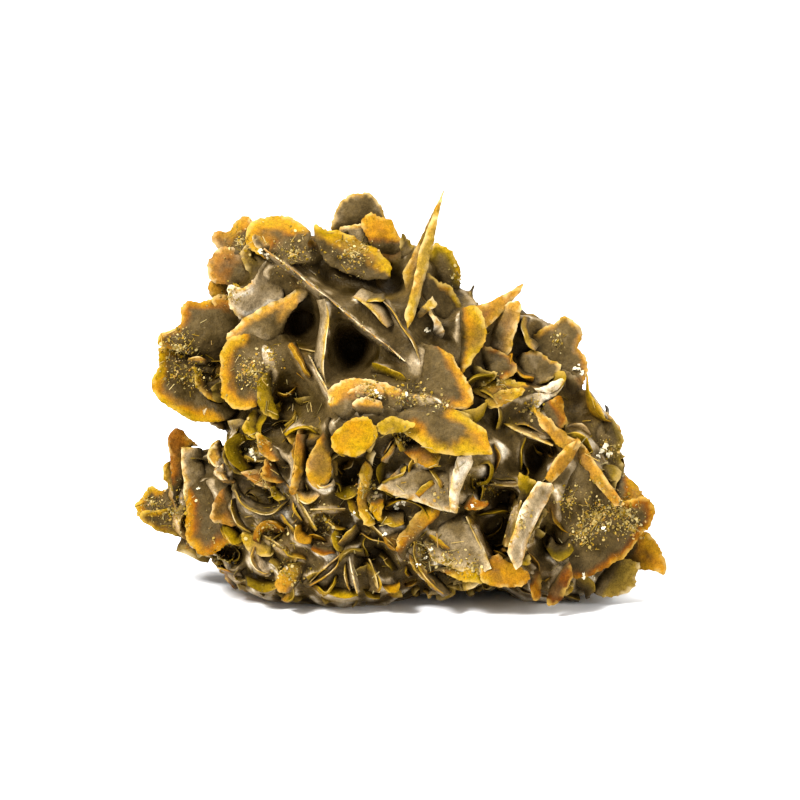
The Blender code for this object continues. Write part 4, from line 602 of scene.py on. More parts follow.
# Fields of fine needles: middle (across, up), half their breadth and height, and how many.
NEEDLES = (
    (-8, 8, 13, 7, 420), (-18, 16, 5, 5, 110), (-26, 30, 4, 5, 40),
    (-13.5, 24, 4, 4, 60), (3.5, 8, 4.5, 4, 70), (23.5, 9, 4.5, 5, 60),
    (8, 13, 4, 4, 50), (0.5, 18.5, 4, 2.5, 40), (-12, 43, 5, 3, 30),
    (24.5, 22, 2.5, 6, 40), (-29, 11, 3.5, 2.5, 40),
)
# Blades whose edges glitter, and the grains on each.
GLITTERING = {"long_edge": 130, "left_diagonal": 60, "lower_diagonal": 40, "web_edge": 20}
LOOSE_GRAINS = 7000
# Pale crystals that glitter: across, up, size.
GLINTS = (
    (-17.2, 43.6, 1.1), (-16.6, 43, 0.8), (-18.5, 18.5, 1), (-17.9, 17.8, 0.7), (-0.3, 11.9, 1),
    (0.6, 12.3, 0.6), (22, 29.2, 0.9), (22.6, 28.4, 0.6), (25.4, 19.2, 1.2), (26, 18.4, 0.9),
    (24.7, 18.2, 0.7), (-3.1, 25.9, 0.7), (-2.4, 25.4, 0.5), (0.9, 25.7, 0.6), (3.8, 6.5, 0.6),
    (3.2, 5.6, 0.5), (2.3, 4.6, 0.5), (25.2, 9, 0.6), (22.6, 3.2, 0.7), (24, 3, 0.6),
    (3.4, 33.6, 0.8), (-5.7, 11, 0.6), (-1.9, 8.4, 0.7), (-25, 14, 0.5), (8.9, 12, 0.5),
)


def resting():
    """The matrix from the show side's frame, in millimetres, to the resting specimen, in metres."""
    to_world = Matrix(
        (
            (1, 0, 0, 0),
            (0, math.sin(LEAN), math.cos(LEAN), 0),
            (0, math.cos(LEAN), -math.sin(LEAN), 0),
            (0, 0, 0, 1),
        )
    )
    down = Matrix.Translation((-BASE_MIDDLE[0], -BASE_MIDDLE[1], -BASE_LEVEL))
    return Matrix.Scale(MM, 4) @ down @ to_world


def height_at_rest(points):
    """Height in millimetres above the base cut of places in the show side's frame."""
    points = np.asarray(points)
    return points[..., 1] * math.cos(LEAN) - points[..., 2] * math.sin(LEAN) - BASE_LEVEL


class Shape:
    """Vertices, faces and values (rim, band, tone, pale) of many crystals, to become one mesh."""

    def __init__(self):
        self.points, self.faces, self.values, self.count = [], [], [], 0

    def add(self, points, faces, values):
        self.points.append(np.asarray(points, float))
        self.values.append(np.asarray(values, float))
        self.faces += [tuple(i + self.count for i in face) for face in faces]
        self.count += len(points)

    def gathered(self):
        return np.vstack(self.points), np.vstack(self.values)


def same_look(rim, band, tone, pale):
    """The values of a crystal's points: each one's distance to the rim, and one look for all."""
    count = len(rim)
    return np.column_stack((rim, np.full(count, band), np.full(count, tone), np.full(count, pale)))


def clamped(value):
    """The value, brought between 0 and 1."""
    return min(1.0, max(0.0, value))


def any_way(rng):
    """A way that points anywhere."""
    return Vector((rng.uniform(-1, 1), rng.uniform(-1, 1), rng.uniform(-1, 1)))


def mesh_object(name, points, faces):
    """An object from points in the show side's frame."""
    mesh = bpy.data.meshes.new(name)
    mesh.from_pydata([tuple(p) for p in points], [], faces)
    obj = bpy.data.objects.new(name, mesh)
    bpy.context.scene.collection.objects.link(obj)
    return obj


def rounded(before, start, end, after, t):
    """A place between start and end on the rounded line through four corners."""
    bend = 2 * before - 5 * start + 4 * end - after
    twist = 3 * start - before - 3 * end + after
    return 0.5 * (2 * start + (end - before) * t + bend * t * t + twist * t**3)


def curve_through(outline, spacing, sharp=False):
    """Points at even spacing along a closed, rounded line through the outline's corners."""
    corners = [Vector(p) for p in outline]
    count = len(corners)
    dense = []
    for i in range(count):
        before, start, end, after = (corners[(i + k) % count] for k in (-1, 0, 1, 2))
        for step in range(CURVE_STEPS):
            t = step / CURVE_STEPS
            dense.append(start.lerp(end, t) if sharp else rounded(before, start, end, after, t))
    dense = np.array([tuple(p) for p in dense])
    ends = np.vstack((dense, dense[:1]))
    along = np.concatenate(([0], np.cumsum(np.linalg.norm(np.diff(ends, axis=0), axis=1))))
    wanted = np.linspace(0, along[-1], max(10, int(along[-1] / spacing)), endpoint=False)
    return np.column_stack([np.interp(wanted, along, ends[:, k]) for k in range(2)])


def ragged(loop, roughness, rng):
    """The outline with the bites and teeth of a crystal's broken, sugary edge."""
    ahead, behind = np.roll(loop, -1, axis=0), np.roll(loop, 1, axis=0)
    tangent = ahead - behind
    length = np.maximum(np.linalg.norm(tangent, axis=1), 1e-6)[:, None]
    out = np.column_stack((tangent[:, 1], -tangent[:, 0])) / length
    if polygon_area(loop) < 0:
        out = -out
    shift = rng.uniform(0, 100)
    amount = [
        noise.noise(Vector((x * 0.6 + shift, y * 0.6, 0.0))) * 0.24
        + noise.noise(Vector((x * 2.6 + shift, y * 2.6, 4.0))) * 0.12
        + rng.uniform(-0.08, 0.08)
        for x, y in loop
    ]
    return loop + out * (np.array(amount) * roughness)[:, None]


def polygon_area(loop):
    after = np.roll(loop, -1, axis=0)
    return 0.5 * float(np.sum(loop[:, 0] * after[:, 1] - after[:, 0] * loop[:, 1]))


def distance_to(loop, points):
    """Distance of each point to the closed line."""
    start, end = loop, np.roll(loop, -1, axis=0)
    way = end - start
    square = np.maximum((way**2).sum(axis=1), 1e-12)
    from_start = points[:, None, :] - start[None]
    t = np.clip((from_start * way[None]).sum(axis=2) / square[None], 0, 1)
    nearest = start[None] + t[..., None] * way[None]
    return np.linalg.norm(points[:, None, :] - nearest, axis=2).min(axis=1)


def inside(loop, points):
    """Whether each point lies inside the closed line."""
    x, y = points[:, 0][:, None], points[:, 1][:, None]
    x0, y0 = loop[:, 0][None], loop[:, 1][None]
    x1, y1 = np.roll(loop[:, 0], -1)[None], np.roll(loop[:, 1], -1)[None]
    crosses = (y0 > y) != (y1 > y)
    reach = (x1 - x0) * (y - y0) / np.where(y1 == y0, 1e-9, y1 - y0) + x0
    return (crosses & (x < reach)).sum(axis=1) % 2 == 1


def flat_grid(loop, step, rng):
    """Triangles that fill the closed line, with points about a step apart: (points, triangles)."""
    low, high = loop.min(axis=0), loop.max(axis=0)
    rows = []
    for number, y in enumerate(np.arange(low[1], high[1], step * 0.87)):
        for x in np.arange(low[0] + (number % 2) * step / 2, high[0], step):
            rows.append((x + rng.uniform(-0.1, 0.1) * step, y + rng.uniform(-0.1, 0.1) * step))
    points = np.array(rows)
    keep = inside(loop, points)
    points = points[keep]
    if len(points):
        points = points[distance_to(loop, points) > step * 0.42]
    everything = np.vstack((loop, points)) if len(points) else loop
    count = len(loop)
    edges = [(i, (i + 1) % count) for i in range(count)]
    made = delaunay_2d_cdt([Vector(p) for p in everything], edges, [], 1, 1e-5)
    return np.array([tuple(p) for p in made[0]]), [tuple(face) for face in made[2]]


def free_side(name, outline):
    """The way to a blade's free side, or None where it stands free all round."""
    if name in ALL_ROUND:
        return None
    if name in FREE_SIDES:
        turn = math.radians(FREE_SIDES[name])
    else:
        middle = np.mean(outline, axis=0)
        turn = math.atan2(middle[1] - MIDDLE[1], middle[0] - MIDDLE[0])
    return np.array((math.cos(turn), math.sin(turn)))


def rooted(points, free):
    """How near each place is to a blade's root: 0 in the free half, 1 at the root's end."""
    if free is None:
        return np.zeros(len(points))
    along = points @ free
    return np.clip(-along / max(1.0, -float(along.min())), 0, 1)


def crystal(shape, plane, look, thickness, rng, sharp=False, free=None, sunk=SUNK_ROOT):
    """A thin blade in a plane, thickest in the middle, with a ragged rim and its root sunk in the mass."""
    origin, across, up, outline = plane
    band, tone, pale, cup = look
    loop = ragged(curve_through(outline, BLADE_STEP * 0.5, sharp), 0.4 if sharp else 1.0, rng)
    points, faces = flat_grid(loop, BLADE_STEP, rng)
    rim = distance_to(loop, points)
    rim[rim < 1e-3] = 0
    normal = across.cross(up).normalized()
    if normal.z > 0:
        normal = -normal
    half = 0.05 + (thickness / 2 - 0.05) * smoothstep(0, 2.4, rim)
    centre = points.mean(axis=0)
    reach = max(1.0, float(np.abs(points - centre).max()))
    offset = ((points - centre) ** 2).sum(axis=1) / reach**2 - 0.4
    shift = rng.uniform(0, 50)
    waves = np.array([noise.noise(Vector((x * 0.28, y * 0.28, shift))) for x, y in points])
    fine = np.array([noise.noise(Vector((x * 0.9, y * 0.9, shift + 9))) for x, y in points])
    steps = np.round((rim + waves * 1.6) / 0.95) * 0.05
    root = rooted(points, free)
    lift = offset * cup * 3.2 + waves * 0.8 * (0.2 if sharp else 1) - sunk * smoothstep(0.3, 1, root)
    base = np.array([tuple(origin + across * float(x) + up * float(y)) for x, y in points])
    n = np.array(normal)
    front = base + n * (half + lift + fine * 0.1 + steps)[:, None]
    back = base + n * (lift - half)[:, None]
    count = len(points)
    turned = across.cross(up).dot(normal) < 0
    every = [face if not turned else face[::-1] for face in faces]
    sides = boundary(every)
    all_faces = list(every) + [tuple(i + count for i in face[::-1]) for face in every]
    all_faces += [(b, a, a + count, b + count) for a, b in sides]
    values = same_look(rim + 1.8 * band * smoothstep(0, 0.5, root), band, tone, pale)
    shape.add(np.vstack((front, back)), all_faces, np.vstack((values, values)))


def boundary(faces):
    """The directed edges that only one face has."""
    edges = set()
    for face in faces:
        for a, b in zip(face, face[1:] + face[:1]):
            if (b, a) in edges:
                edges.discard((b, a))
            else:
                edges.add((a, b))
    return edges


def plate_plane(depth, slope_across, slope_up, outline):
    """A plate's middle, its two directions and its outline round the middle."""
    middle = np.mean(outline, axis=0)
    origin = Vector((middle[0], middle[1], depth))
    across, up = Vector((1, 0, slope_across)), Vector((0, 1, slope_up))
    return origin, across, up, np.asarray(outline) - middle


def set_back(plane, cup):
    """The plane of a plate's root, which lies behind its dished face."""
    origin, across, up, outline = plane
    normal = across.cross(up).normalized()
    if normal.z < 0:
        normal = -normal
    return origin + normal * (0.7 + CUP_DEPTH * cup), across, up, outline


def ridge_plane(start, end, back, bulge):
    """The same for a blade seen on edge."""
    start, end, back = Vector(start), Vector(end), Vector(back)
    along = (end - start).normalized()
    deep = (back - along * back.dot(along)).normalized()
    lean = back.dot(along)
    length, depth = (end - start).length, back.dot(deep)
    outline = [(lean, depth), (0.0, 0.0)]
    outline += [(length * s, -bulge * math.sin(math.pi * s)) for s in (0.25, 0.5, 0.75)]
    outline += [(length, 0.0), (length + lean, depth)]
    return start, along, deep, np.array(outline)


def front_of_mass(across, up):
    """Depth of the crystal mass's front at a place on the show side, or None beyond its edge."""
    found = None
    for middle, radii in LUMPS.values():
        left = 1 - ((across - middle[0]) / radii[0]) ** 2 - ((up - middle[1]) / radii[1]) ** 2
        if left > 0:
            depth = middle[2] - radii[2] * math.sqrt(left)
            found = depth if found is None else min(found, depth)
    return found


def mesh_of(bm):
    """The places and faces of a bmesh, which ends here."""
    bmesh.ops.recalc_face_normals(bm, faces=bm.faces)
    bm.verts.index_update()
    points = np.array([tuple(v.co) for v in bm.verts])
    faces = [tuple(v.index for v in face.verts) for face in bm.faces]
    bm.free()
    return points, faces


def thickened(bm, way):
    """Extrudes all the faces of an open bmesh into a closed slab."""
    made = bmesh.ops.extrude_face_region(bm, geom=bm.faces[:])
    far = [item for item in made["geom"] if isinstance(item, bmesh.types.BMVert)]
    bmesh.ops.translate(bm, vec=way, verts=far)
    return far


def prism(origin, across, up, outline, thickness):
    """A plain slab with this outline."""
    normal = across.cross(up).normalized() * thickness
    bm = bmesh.new()
    corners = [bm.verts.new(origin + across * float(x) + up * float(y) - normal / 2) for x, y in outline]
    bm.faces.new(corners)
    thickened(bm, normal)
    return mesh_of(bm)


def sheet(columns, rows):
    """A flat closed sheet: places from 0 to 1 along, 0 to 1 across and 0 or 1 through it, and faces."""
    bm = bmesh.new()
    bmesh.ops.create_grid(bm, x_segments=columns, y_segments=rows, size=0.5)
    bmesh.ops.translate(bm, vec=(0.5, 0.5, 0), verts=bm.verts)
    thickened(bm, (0, 0, 1))
    return mesh_of(bm)


def line_through(corners, spacing):
    """Points at even spacing along an open, rounded line through the corners."""
    corners = [Vector(c) for c in corners]
    ends = [corners[0] * 2 - corners[1]] + corners + [corners[-1] * 2 - corners[-2]]
    dense = []
    for before, start, end, after in zip(ends, ends[1:], ends[2:], ends[3:]):
        for step in range(CURVE_STEPS):
            dense.append(rounded(before, start, end, after, step / CURVE_STEPS))
    dense = np.array([tuple(p) for p in dense] + [tuple(corners[-1])])
    along = np.concatenate(([0], np.cumsum(np.linalg.norm(np.diff(dense, axis=0), axis=1))))
    wanted = np.linspace(0, along[-1], max(6, int(along[-1] / spacing)))
    return np.column_stack([np.interp(wanted, along, dense[:, k]) for k in range(2)])


def crescent(shape, thickness, depth, back, look, corners, rng):
    """A thin curved blade seen on its edge, which leans as it runs back into the mass."""
    band, tone, pale = look
    edge = line_through(corners, 0.3)
    rows = 7
    places, faces = sheet(len(edge) - 1, rows)
    along, through, side = places.T
    through = through**1.6
    column = np.rint(along * (len(edge) - 1)).astype(int)
    way = np.gradient(edge, axis=0)
    way = np.column_stack((way, np.zeros(len(way))))[column]
    back = Vector(back)
    length = back.length
    normal = np.cross(way, np.array(back))
    normal /= np.maximum(np.linalg.norm(normal, axis=1), 1e-9)[:, None]
    shift = rng.uniform(0, 60)
    bites = np.array([
        noise.noise(Vector((i * 0.45, shift, 0))) * 0.16 + rng.uniform(-0.04, 0.04)
        for i in range(len(edge))
    ])
    ends = 0.30 * (1 - np.sin(np.pi * np.clip(along, 0.02, 0.98)) ** 0.4)
    start = np.column_stack((edge, np.full(len(edge), depth)))[column]
    sunk = through + (ends + bites[column] / length) * (1 - through)
    bow = np.sin(np.pi * through * 0.8) * 0.16 * length * rng.choice((-1, 1))
    half = 0.05 + (thickness / 2 - 0.05) * smoothstep(0, 0.35, through)
    waves = np.array([noise.noise(Vector((a * 3.0, t * 2.0, shift))) for a, t in zip(along, through)]) * 0.25
    points = start + np.array(back) * sunk[:, None] + normal * (bow + waves + half * (2 * side - 1))[:, None]
    shape.add(points, faces, same_look(through * length + 3.0 * ends, band, tone, pale))


def wild_crescents(rng):
    """More curved blades, scattered where the plates leave the lower part and the flanks bare."""
    outlines = [values[5] for values in (*PLATES.values(), *FLAKES.values())]
    middles = [np.mean(values[4], axis=0) for values in CRESCENTS.values()]
    found = {}
    for _ in range(WILD_TRIES):
        across, up = rng.uniform(-26, 28), rng.uniform(0.5, 34)
        front = front_of_mass(across, up)
        spot = np.array([[across, up]])
        low = float(smoothstep(27, 18, up + 0.15 * abs(across + 4)))
        gap = WILD_SPACING[1] + (WILD_SPACING[0] - WILD_SPACING[1]) * low
        if front is None or min(np.hypot(*(spot[0] - other)) for other in middles) < gap:
            continue
        if any(inside(np.asarray(outline), spot)[0] for outline in outlines):
            continue
        radius, turn, half = rng.uniform(1.3, 3.6), rng.uniform(0, 2 * math.pi), rng.uniform(0.35, 1.25)
        half = min(half, 3.3 / radius)
        inward = Vector((-math.cos(turn), -math.sin(turn)))
        corners = []
        for share in (-1, -0.35, 0.35, 1):
            angle = turn + share * half
            corners.append((
                across + radius * (math.cos(angle) - math.cos(turn)),
                up + radius * (math.sin(angle) - math.sin(turn)),
            ))
        heights = height_at_rest([(*corner, front) for corner in corners])
        if heights.min() < 0.8 or any(front_of_mass(*corner) is None for corner in corners):
            continue
        lean = rng.uniform(-0.4, 1.6)
        back = (inward.x * lean, inward.y * lean, rng.uniform(2.2, 3.6))
        depth = front - rng.uniform(-0.6, 1.2)
        slow = noise.noise(Vector((across * 0.15, up * 0.15, 3)))
        tone = clamped(0.42 + 0.4 * slow + rng.uniform(-0.15, 0.2))
        look = (rng.choice(EDGE_BANDS), tone, max(0.0, rng.uniform(-0.5, 0.6)))
        blade = (rng.uniform(0.35, 0.7), depth, back, look, corners)
        middles.append(spot[0])
        if up < 25 or abs(across + 3) > 9:
            found["wild_%d" % len(found)] = blade
    return found


def held_skin(across, up, edges):
    """Where blades hold the skin, and at which depth: two grids."""
    level = np.full(across.shape, np.inf)
    spots = np.column_stack((across.ravel(), up.ravel()))
    for name, (_, depth, slope_across, slope_up, look, outline) in {**PLATES, **FLAKES}.items():
        if name in DRAPED:
            continue
        middle = np.mean(outline, axis=0)
        loop = (np.asarray(outline) - middle) * ROOT_SHARE + middle
        found = inside(loop, spots).reshape(across.shape)
        plane = depth + slope_across * (across - middle[0]) + slope_up * (up - middle[1])
        level = np.where(found, np.minimum(level, plane + 0.8 + CUP_DEPTH * look[3]), level)
        if name in OVERHANGING:
            continue
        within = inside(np.asarray(outline), spots)
        root = within & (rooted(np.where(within[:, None], spots - middle, 0), free_side(name, outline)) > 0.5)
        level = np.where(root.reshape(across.shape), np.minimum(level, plane + 0.6), level)
    lines = []
    for _, start, end, back, bulge in RIDGES.values():
        start, end, middle = Vector(start), Vector(end), (Vector(start) + Vector(end)) / 2
        middle -= Vector(back).normalized() * bulge
        lines += [(start.lerp(end, 0.12), middle), (middle, start.lerp(end, 0.88))]
    for _, depth, back, _, corners in edges.values():
        line = line_through(corners, 0.4)[1:-1]
        lines += [(Vector((*a, depth)), Vector((*b, depth))) for a, b in zip(line, line[1:])]
    for a, b in lines:
        for step in np.linspace(0, 1, max(2, int((b - a).length / 0.2))):
            place = a.lerp(b, float(step))
            column = int(round((place.x - across[0, 0]) / SKIN_CELL))
            row = int(round((place.y - up[0, 0]) / SKIN_CELL))
            if 0 <= row < level.shape[0] and 0 <= column < level.shape[1]:
                level[row, column] = min(level[row, column], place.z + 1.3)
    return level


def within_ellipse(across, up, ellipse):
    """How well inside an ellipse each place is: 1 in its middle, 0 just outside its edge."""
    middle_across, middle_up, breadth, height = ellipse
    share = ((across - middle_across) / breadth) ** 2 + ((up - middle_up) / height) ** 2
    return np.clip(1.2 - share, 0, 1)


def skin(edges):
    """The skin of the show side: it hangs between the blades, sinks in the hollows, and is closed behind."""
    across, up = np.meshgrid(np.arange(-34, 34, SKIN_CELL), np.arange(-0.8, 52, SKIN_CELL))
    front = np.full(across.shape, np.inf)
    for middle, radii in LUMPS.values():
        left = 1 - ((across - middle[0]) / radii[0]) ** 2 - ((up - middle[1]) / radii[1]) ** 2
        depth = middle[2] - radii[2] * np.sqrt(np.maximum(left, 0))
        front = np.where(left > 0.02, np.minimum(front, depth), front)
    covered = np.isfinite(front)
    front = np.where(covered, front, 0.0)
    floor = front + SKIN_FLOOR[0] + (SKIN_FLOOR[1] - SKIN_FLOOR[0]) * smoothstep(16, 22, up)
    sag = SKIN_SAG[0] + (SKIN_SAG[1] - SKIN_SAG[0]) * smoothstep(19, 26, up)
    for *ellipse, deeper in PITS:
        hollow = within_ellipse(across, up, ellipse)
        floor += deeper * hollow**0.5
        sag += 4.0 * hollow
    for *ellipse, forwards in SWELLS:
        floor -= forwards * within_ellipse(across, up, ellipse)
    floor = np.where(covered, np.minimum(floor, SKIN_BACK - 0.6), 0.0)
    level = held_skin(across, up, edges)
    held = np.isfinite(level) & covered & (level < floor)
    depth = np.where(held, level, floor)
    for _ in range(SKIN_ROUNDS):
        beside = np.roll(depth, 1, 0) + np.roll(depth, -1, 0)
        mean = (beside + np.roll(depth, 1, 1) + np.roll(depth, -1, 1)) / 4
        depth = np.minimum(mean + sag * SKIN_CELL**2 / 4, floor)
        depth = np.where(held, level, depth)
    rows, columns = across.shape
    bm = bmesh.new()
    bmesh.ops.create_grid(bm, x_segments=columns - 1, y_segments=rows - 1, size=0.5)
    for vert in bm.verts:
        column, row = round((vert.co.x + 0.5) * (columns - 1)), round((vert.co.y + 0.5) * (rows - 1))
        vert.tag = not covered[row, column]
        vert.co = (across[row, column], up[row, column], depth[row, column])
    bmesh.ops.delete(bm, geom=[vert for vert in bm.verts if vert.tag], context="VERTS")
    for vert in thickened(bm, (0, 0, 0)):
        vert.co.z = SKIN_BACK
    return mesh_of(bm)


def remeshed(name, points, faces, modifiers):
    """The mesh that a row of modifiers makes, as (points, quads, normals)."""
    obj = mesh_object(name, points, faces)
    for kind, values in modifiers:
        modifier = obj.modifiers.new(kind.lower(), kind)
        for key, value in values.items():
            setattr(modifier, key, value)
    graph = bpy.context.evaluated_depsgraph_get()
    made = obj.evaluated_get(graph).to_mesh()
    count = len(made.vertices)
    out = np.empty(count * 3, np.float32)
    made.vertices.foreach_get("co", out)
    normals = np.empty(count * 3, np.float32)
    made.vertex_normals.foreach_get("vector", normals)
    polygons = [tuple(p.vertices) for p in made.polygons]
    obj.to_mesh_clear()
    bpy.data.objects.remove(obj)
    return out.reshape(-1, 3).astype(float), polygons, normals.reshape(-1, 3).astype(float)


def voxels(size):
    return ("REMESH", {"mode": "VOXEL", "voxel_size": size})


def core():
    """The mass between the blades: lumps whose skin is drawn up into walls round deep pits."""
    gathered = Shape()
    for middle, radii in LUMPS.values():
        size = np.maximum(np.array(radii) - CORE_SUNK, 1.5)
        bm = bmesh.new()
        bmesh.ops.create_icosphere(bm, subdivisions=3, radius=1)
        bmesh.ops.scale(bm, vec=size, verts=bm.verts)
        bmesh.ops.translate(bm, vec=middle, verts=bm.verts)
        points, faces = mesh_of(bm)
        gathered.add(points, faces, np.zeros((len(points), 4)))
    points, _ = gathered.gathered()
    points, faces, normals = remeshed("core", points, gathered.faces, [voxels(0.6)])
    lift = np.empty(len(points))
    for number, p in enumerate(points):
        near = noise.voronoi(Vector(p) / WALL_CELL + Vector((3.1, 0.7, 5.2)))[0]
        wall = 1 - min(1.0, (near[1] - near[0]) / 0.42)
        small = noise.voronoi(Vector(p) / (WALL_CELL * 0.45))[0]
        fine = 1 - min(1.0, (small[1] - small[0]) / 0.5)
        lift[number] = WALL_HEIGHT * wall**1.5 + 0.7 * fine**1.5
    lift *= smoothstep(-0.75, -0.1, normals[:, 2])
    return points + normals * lift[:, None], faces


def melted(points):
    """Radius of the fillets at each place: small in the nest below, wide in the webs above."""
    return MELT[0] + (MELT[1] - MELT[0]) * smoothstep(17, 25, points[:, 1])


def web_body(blades, edges):
    """The grey mass: the core, the skin and every blade's root, melted into one another, flat below."""
    gathered = Shape()
    for points, faces in (core(), skin(edges)):
        gathered.add(points, faces, np.zeros((len(points), 4)))
    for origin, across, up, outline in blades:
        middle = np.mean(outline, axis=0)
        root = (outline - middle) * ROOT_SHARE + middle
        points, faces = prism(origin, across, up, root, ROOT_THICKNESS)
        gathered.add(points, faces, np.zeros((len(points), 4)))
    points, _ = gathered.gathered()
    points, faces, normals = remeshed("web", points, gathered.faces, [voxels(VOXEL)])
    points = points + normals * melted(points)[:, None]
    points, faces, normals = remeshed("web", points, faces, [voxels(VOXEL)])
    points = points - normals * melted(points)[:, None]
    smoothing = [("SMOOTH", {"factor": 0.5, "iterations": 5})]
    points, faces, normals = remeshed("web", points, faces, smoothing)
    return flattened(points), faces, normals


def flattened(points):
    """Points below the base cut, brought up to it."""
    below = np.minimum(height_at_rest(points), 0)
    points = points.copy()
    points[:, 1] -= below * math.cos(LEAN)
    points[:, 2] += below * math.sin(LEAN)
    return points


def leaf_form():
    """The form that all small crystals share: a disc with one ring inside, extruded."""
    bm = bmesh.new()
    bmesh.ops.create_circle(bm, cap_ends=True, segments=LEAF_CORNERS, radius=1)
    bmesh.ops.inset_region(
        bm, faces=bm.faces[:], thickness=1 - LEAF_RING, use_boundary=True, use_even_offset=True
    )
    middle = [face for face in bm.faces if len(face.verts) == LEAF_CORNERS]
    bmesh.ops.poke(bm, faces=middle)
    thickened(bm, (0, 0, 1))
    return mesh_of(bm)


def leaf(form, rng, radius, squash, thickness, cup):
    """A small thin crystal round the origin, flat in X and Y: (points, rim distance)."""
    across, up, side = form.T
    angle = np.arctan2(up, across)
    share = np.hypot(across, up)
    start, kind, uneven = rng.uniform(0, 2 * math.pi), rng.random(), rng.uniform(0, 60)
    reach = np.array([
        1 + 0.14 * noise.noise(Vector((math.cos(a) * 1.6, math.sin(a) * 1.6, uneven))) for a in angle
    ])
    if kind < 0.45:
        reach *= 1.08 - 0.20 * np.abs(np.sin(2 * angle))  # squarish
    elif kind < 0.7:
        reach *= 1 - 0.25 * np.maximum(0.0, np.cos(angle)) ** 6  # bitten
    flat = np.column_stack((np.cos(angle + start), np.sin(angle + start) * squash))
    flat *= (radius * reach * share)[:, None]
    rim = radius * squash * (1 - share)
    bend = cup * ((flat**2).sum(axis=1) / radius**2 - 0.5) * radius
    half = 0.03 + (thickness / 2) * np.clip(rim / (radius * squash), 0, 1)
    rim = rim + 1.5 * radius * smoothstep(0.1, 0.9, -flat[:, 1] / (radius * squash))
    return np.column_stack((flat, bend + half * (2 * side - 1))), rim


def placed(points, centre, out, rng, tilt):
    """Points of a small crystal, stood on the mass: its plane holds the way out, more or less."""
    way = any_way(rng)
    flat = out.cross(way).normalized()
    upright = (out + flat.cross(out) * rng.uniform(-tilt, tilt) + way * 0.15).normalized()
    flat = (flat - upright * flat.dot(upright)).normalized()
    normal = flat.cross(upright)
    turned = np.array((tuple(flat), tuple(upright), tuple(normal)))
    return points @ turned + np.array(centre)


def spaced(points, spacing, keep):
    """Indices of points, in their order, that stand at least their own spacing apart."""
    cell = 1.2
    taken, chosen = {}, []
    for index in keep:
        p, gap = points[index], spacing[index]
        a, b, c = (int(math.floor(x / cell)) for x in p)
        reach = int(math.ceil(gap / cell))
        steps = product(range(-reach, reach + 1), repeat=3)
        near = (q for i, j, k in steps for q in taken.get((a + i, b + j, c + k), ()))
        if all((p[0] - q[0]) ** 2 + (p[1] - q[1]) ** 2 + (p[2] - q[2]) ** 2 >= gap * gap for q in near):
            taken.setdefault((a, b, c), []).append(p)
            chosen.append(index)
    return chosen


def smoothstep(low, high, value):
    t = np.clip((np.asarray(value, float) - low) / (high - low), 0, 1)
    return t * t * (3 - 2 * t)


def spread(points, seed, scale):
    """Slow noise between -1 and 1 at each point."""
    shift = Vector((seed * 7.3, seed * 3.1, seed * 1.7))
    return np.array([noise.noise(Vector(p) * scale + shift) for p in points])


def crowding(points, normals):
    """How far apart the small blades stand at each place: close in the nest, wide on the crown."""
    across, up = points[:, 0], points[:, 1]
    nest = smoothstep(24, 19, up + 0.10 * np.abs(across + 4) + 2.5 * spread(points, 2, 0.16))
    left = smoothstep(-9, -13, across) * smoothstep(30, 24, up)
    edge = smoothstep(20, 24, across)
    front = smoothstep(0.35, -0.1, normals[:, 2]) * smoothstep(5, 2, points[:, 2])
    flank = smoothstep(0.4, 0.8, np.abs(normals[:, 0]))
    close = np.clip(np.maximum(np.maximum(nest, left * 0.9), np.maximum(edge, flank) * 0.7), 0, 1)
    close = close * front + 0.65 * (1 - front)
    return BARE_SPACING + (NEST_SPACING - BARE_SPACING) * close


def kept_bare(place):
    """Whether a place lies among the webs of the show side, where no small blades grow."""
    return place.z < 2 and -14 < place.x < 7.5 and 26.5 < place.y < 45


def small_blades(points, normals, big_tree, faces_tree, rng):
    """The small blades over the whole mass, front and back in a shape each."""
    order = list(range(len(points)))
    rng.shuffle(order)
    heights = height_at_rest(points)
    order = [i for i in order if heights[i] > 0.9]
    gaps = crowding(points, normals)
    shapes = {"front": Shape(), "rear": Shape()}
    form, faces = leaf_form()
    tones = 0.36 + 0.45 * spread(points, 5, 0.09) + 0.3 * spread(points, 6, 0.3)
    for index in spaced(points, gaps, order):
        place, out = Vector(points[index]), Vector(normals[index])
        nearest = big_tree.find(place)
        if kept_bare(place) or (nearest[2] < 0.75 and rng.random() < 0.93):
            continue
        size = rng.uniform(0, 1) ** 1.6
        room = gaps[index] / NEST_SPACING
        radius = (NEST_RADIUS[0] + (NEST_RADIUS[1] - NEST_RADIUS[0]) * size) * room**0.5
        squash = rng.uniform(0.5, 0.95)
        cup = rng.choice((-1, 1)) * rng.uniform(0.3, 1.1)
        made, rim = leaf(form, rng, radius, squash, rng.uniform(0.06, 0.20), cup)
        centre = place + out * radius * squash * rng.uniform(-0.40, 0.30)
        made = placed(made, centre, out, rng, 1.0)
        if height_at_rest(made).min() < 0.3 or any(faces_tree.find(p)[2] < 0.6 for p in made[::5]):
            continue
        covered = place.y < 18 or (place.x < 0 and 24 < place.y < 40)
        if not covered and any(front_of_mass(*p[:2]) is None for p in made[::5]):
            continue
        tone = clamped(tones[index] + rng.uniform(-0.22, 0.22))
        band = rng.choice(BANDS)
        pale = max(0.0, rng.uniform(-0.8, 0.5)) + 0.15 * float(smoothstep(26, 20, place.y))
        shapes["front" if place.z < 2.0 else "rear"].add(made, faces, same_look(rim, band, tone, pale))
    return shapes


